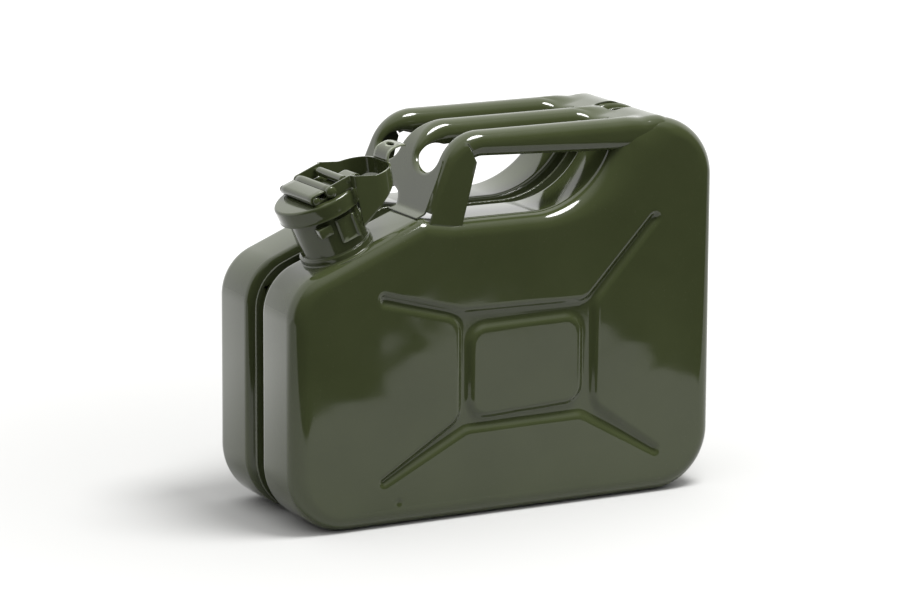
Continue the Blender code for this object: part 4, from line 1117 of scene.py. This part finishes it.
tab_path += [(0.0720, 0.0492), (0.0737, 0.0482), (0.0750, 0.0471)]
slot_middle = 0.0672
slot_reach = 0.006
slot_sides = 20
slot_half_width = 0.0045
slot_radius = 0.0016


def lever_span(place):
    """Lowest and highest point of the lever's side outline at a place along its arm, with its lean undone."""
    crossed = []
    for (u, w), (next_u, next_w) in zip(lever_outline, lever_outline[1:] + lever_outline[:1]):
        if min(u, next_u) <= place <= max(u, next_u) and u != next_u:
            crossed.append(w + (next_w - w) * (place - u) / (next_u - u))
    return min(crossed), max(crossed)


def lever_middle(place):
    """Height at which the lever's sheet is divided into its upper rows and its flap's rows."""
    return split_height - split_fall * smooth_share(place, 0.0200, 0.0500)


def lever_rows(side_stations, flap):
    """Rows of points up the lever's sheet, of its flap or else of the part above it."""
    rows = []
    for place, across in side_stations:
        low, high = lever_span(place)
        if flap:
            high = lever_middle(place)
        elif place >= flap_front - 1e-6:
            low = lever_middle(place)
        heights = [low + (high - low) * i / lever_columns for i in range(lever_columns + 1)]
        rows.append(into_closure([(place + lever_lean * (w - lever_level), across, w) for w in heights]))
    return rows


def lever_mesh():
    """The lever's sheet: its side outline, wrapped round the cap from the nose to the rear."""
    front = min(u for u, w in lever_outline) + 0.00002
    rounds = [1 - math.cos(math.pi * i / 24) for i in range(12)]
    stations = [(front + (nose_end - front) * share, lever_nose) for share in rounds]
    stations += [(nose_end + (step_start - nose_end) * i / 8, lever_nose) for i in range(9)]
    for i in range(1, 9):
        share = i / 8
        across = lever_nose + (lever_half_width - lever_nose) * share * share * (3 - 2 * share)
        stations.append((step_start + (flap_front - step_start) * share, across))
    bend_u = lever_rear - lever_bend
    stations += [(flap_front + (bend_u - flap_front) * i / 14, lever_half_width) for i in range(1, 14)]
    corner = arc_points((bend_u, lever_bend - lever_half_width), lever_bend, 270, 360, 14)
    stations += [(u, -v) for u, v in corner]
    half_rear = lever_half_width - lever_bend
    stations += [(lever_rear, half_rear * (1 - i / 5)) for i in range(1, 6)]
    shape = bmesh.new()
    for side in (-1, 1):
        sided = [(u, side * v) for u, v in stations]
        grid_patch(shape, lever_rows(sided, False))
        lip = [(flap_front, side * (lever_half_width - reach)) for reach in (flap_lip, flap_lip / 2)]
        grid_patch(shape, lever_rows(lip + [s for s in sided if s[0] >= flap_front - 1e-6], True))
    return finish_mesh("lever_sheet", shape, 0.00001)


def tab_mesh():
    """The thumb tab: its sheet rounded at the end, with its slot."""
    shape = bmesh.new()
    rows = []
    for u, w in tab_path:
        inside = max(u - (tab_path[-1][0] - tab_corner), 0.0) / tab_corner
        half = tab_half_width - tab_corner * (1 - math.sqrt(max(1 - inside * inside, 0.0)))
        rows.append([Vector((u, half * (2 * i / tab_columns - 1), w)) for i in range(tab_columns + 1)])
    grid_patch(shape, rows)
    cuts = []
    for cut in range(slot_sides):
        turn = 2 * math.pi * (cut + 0.5) / slot_sides
        outward = Vector((math.cos(turn), math.sin(turn), 0.0))
        centre = Vector((slot_middle, math.copysign(slot_half_width, outward.y), 0.0))
        cuts.append((centre + outward * slot_radius, outward))
    cut_out(shape, [f for f in shape.faces if abs(f.calc_center_median().x - slot_middle) < slot_reach], cuts)
    shape.transform(closure_matrix)
    return finish_mesh("thumb_tab", shape)


lever = add_piece("lever_arms", lever_mesh(), "lever", closure_paint, ["cam_lever"])
centre_thicken(lever, lever_sheet)
tab = add_piece("thumb_tab", tab_mesh(), "lever", closure_paint, [])
centre_thicken(tab, lever_sheet)

sizes = {"cad": [list(corner) for corner in cad_box], "visual": [list(corner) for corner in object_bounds()]}
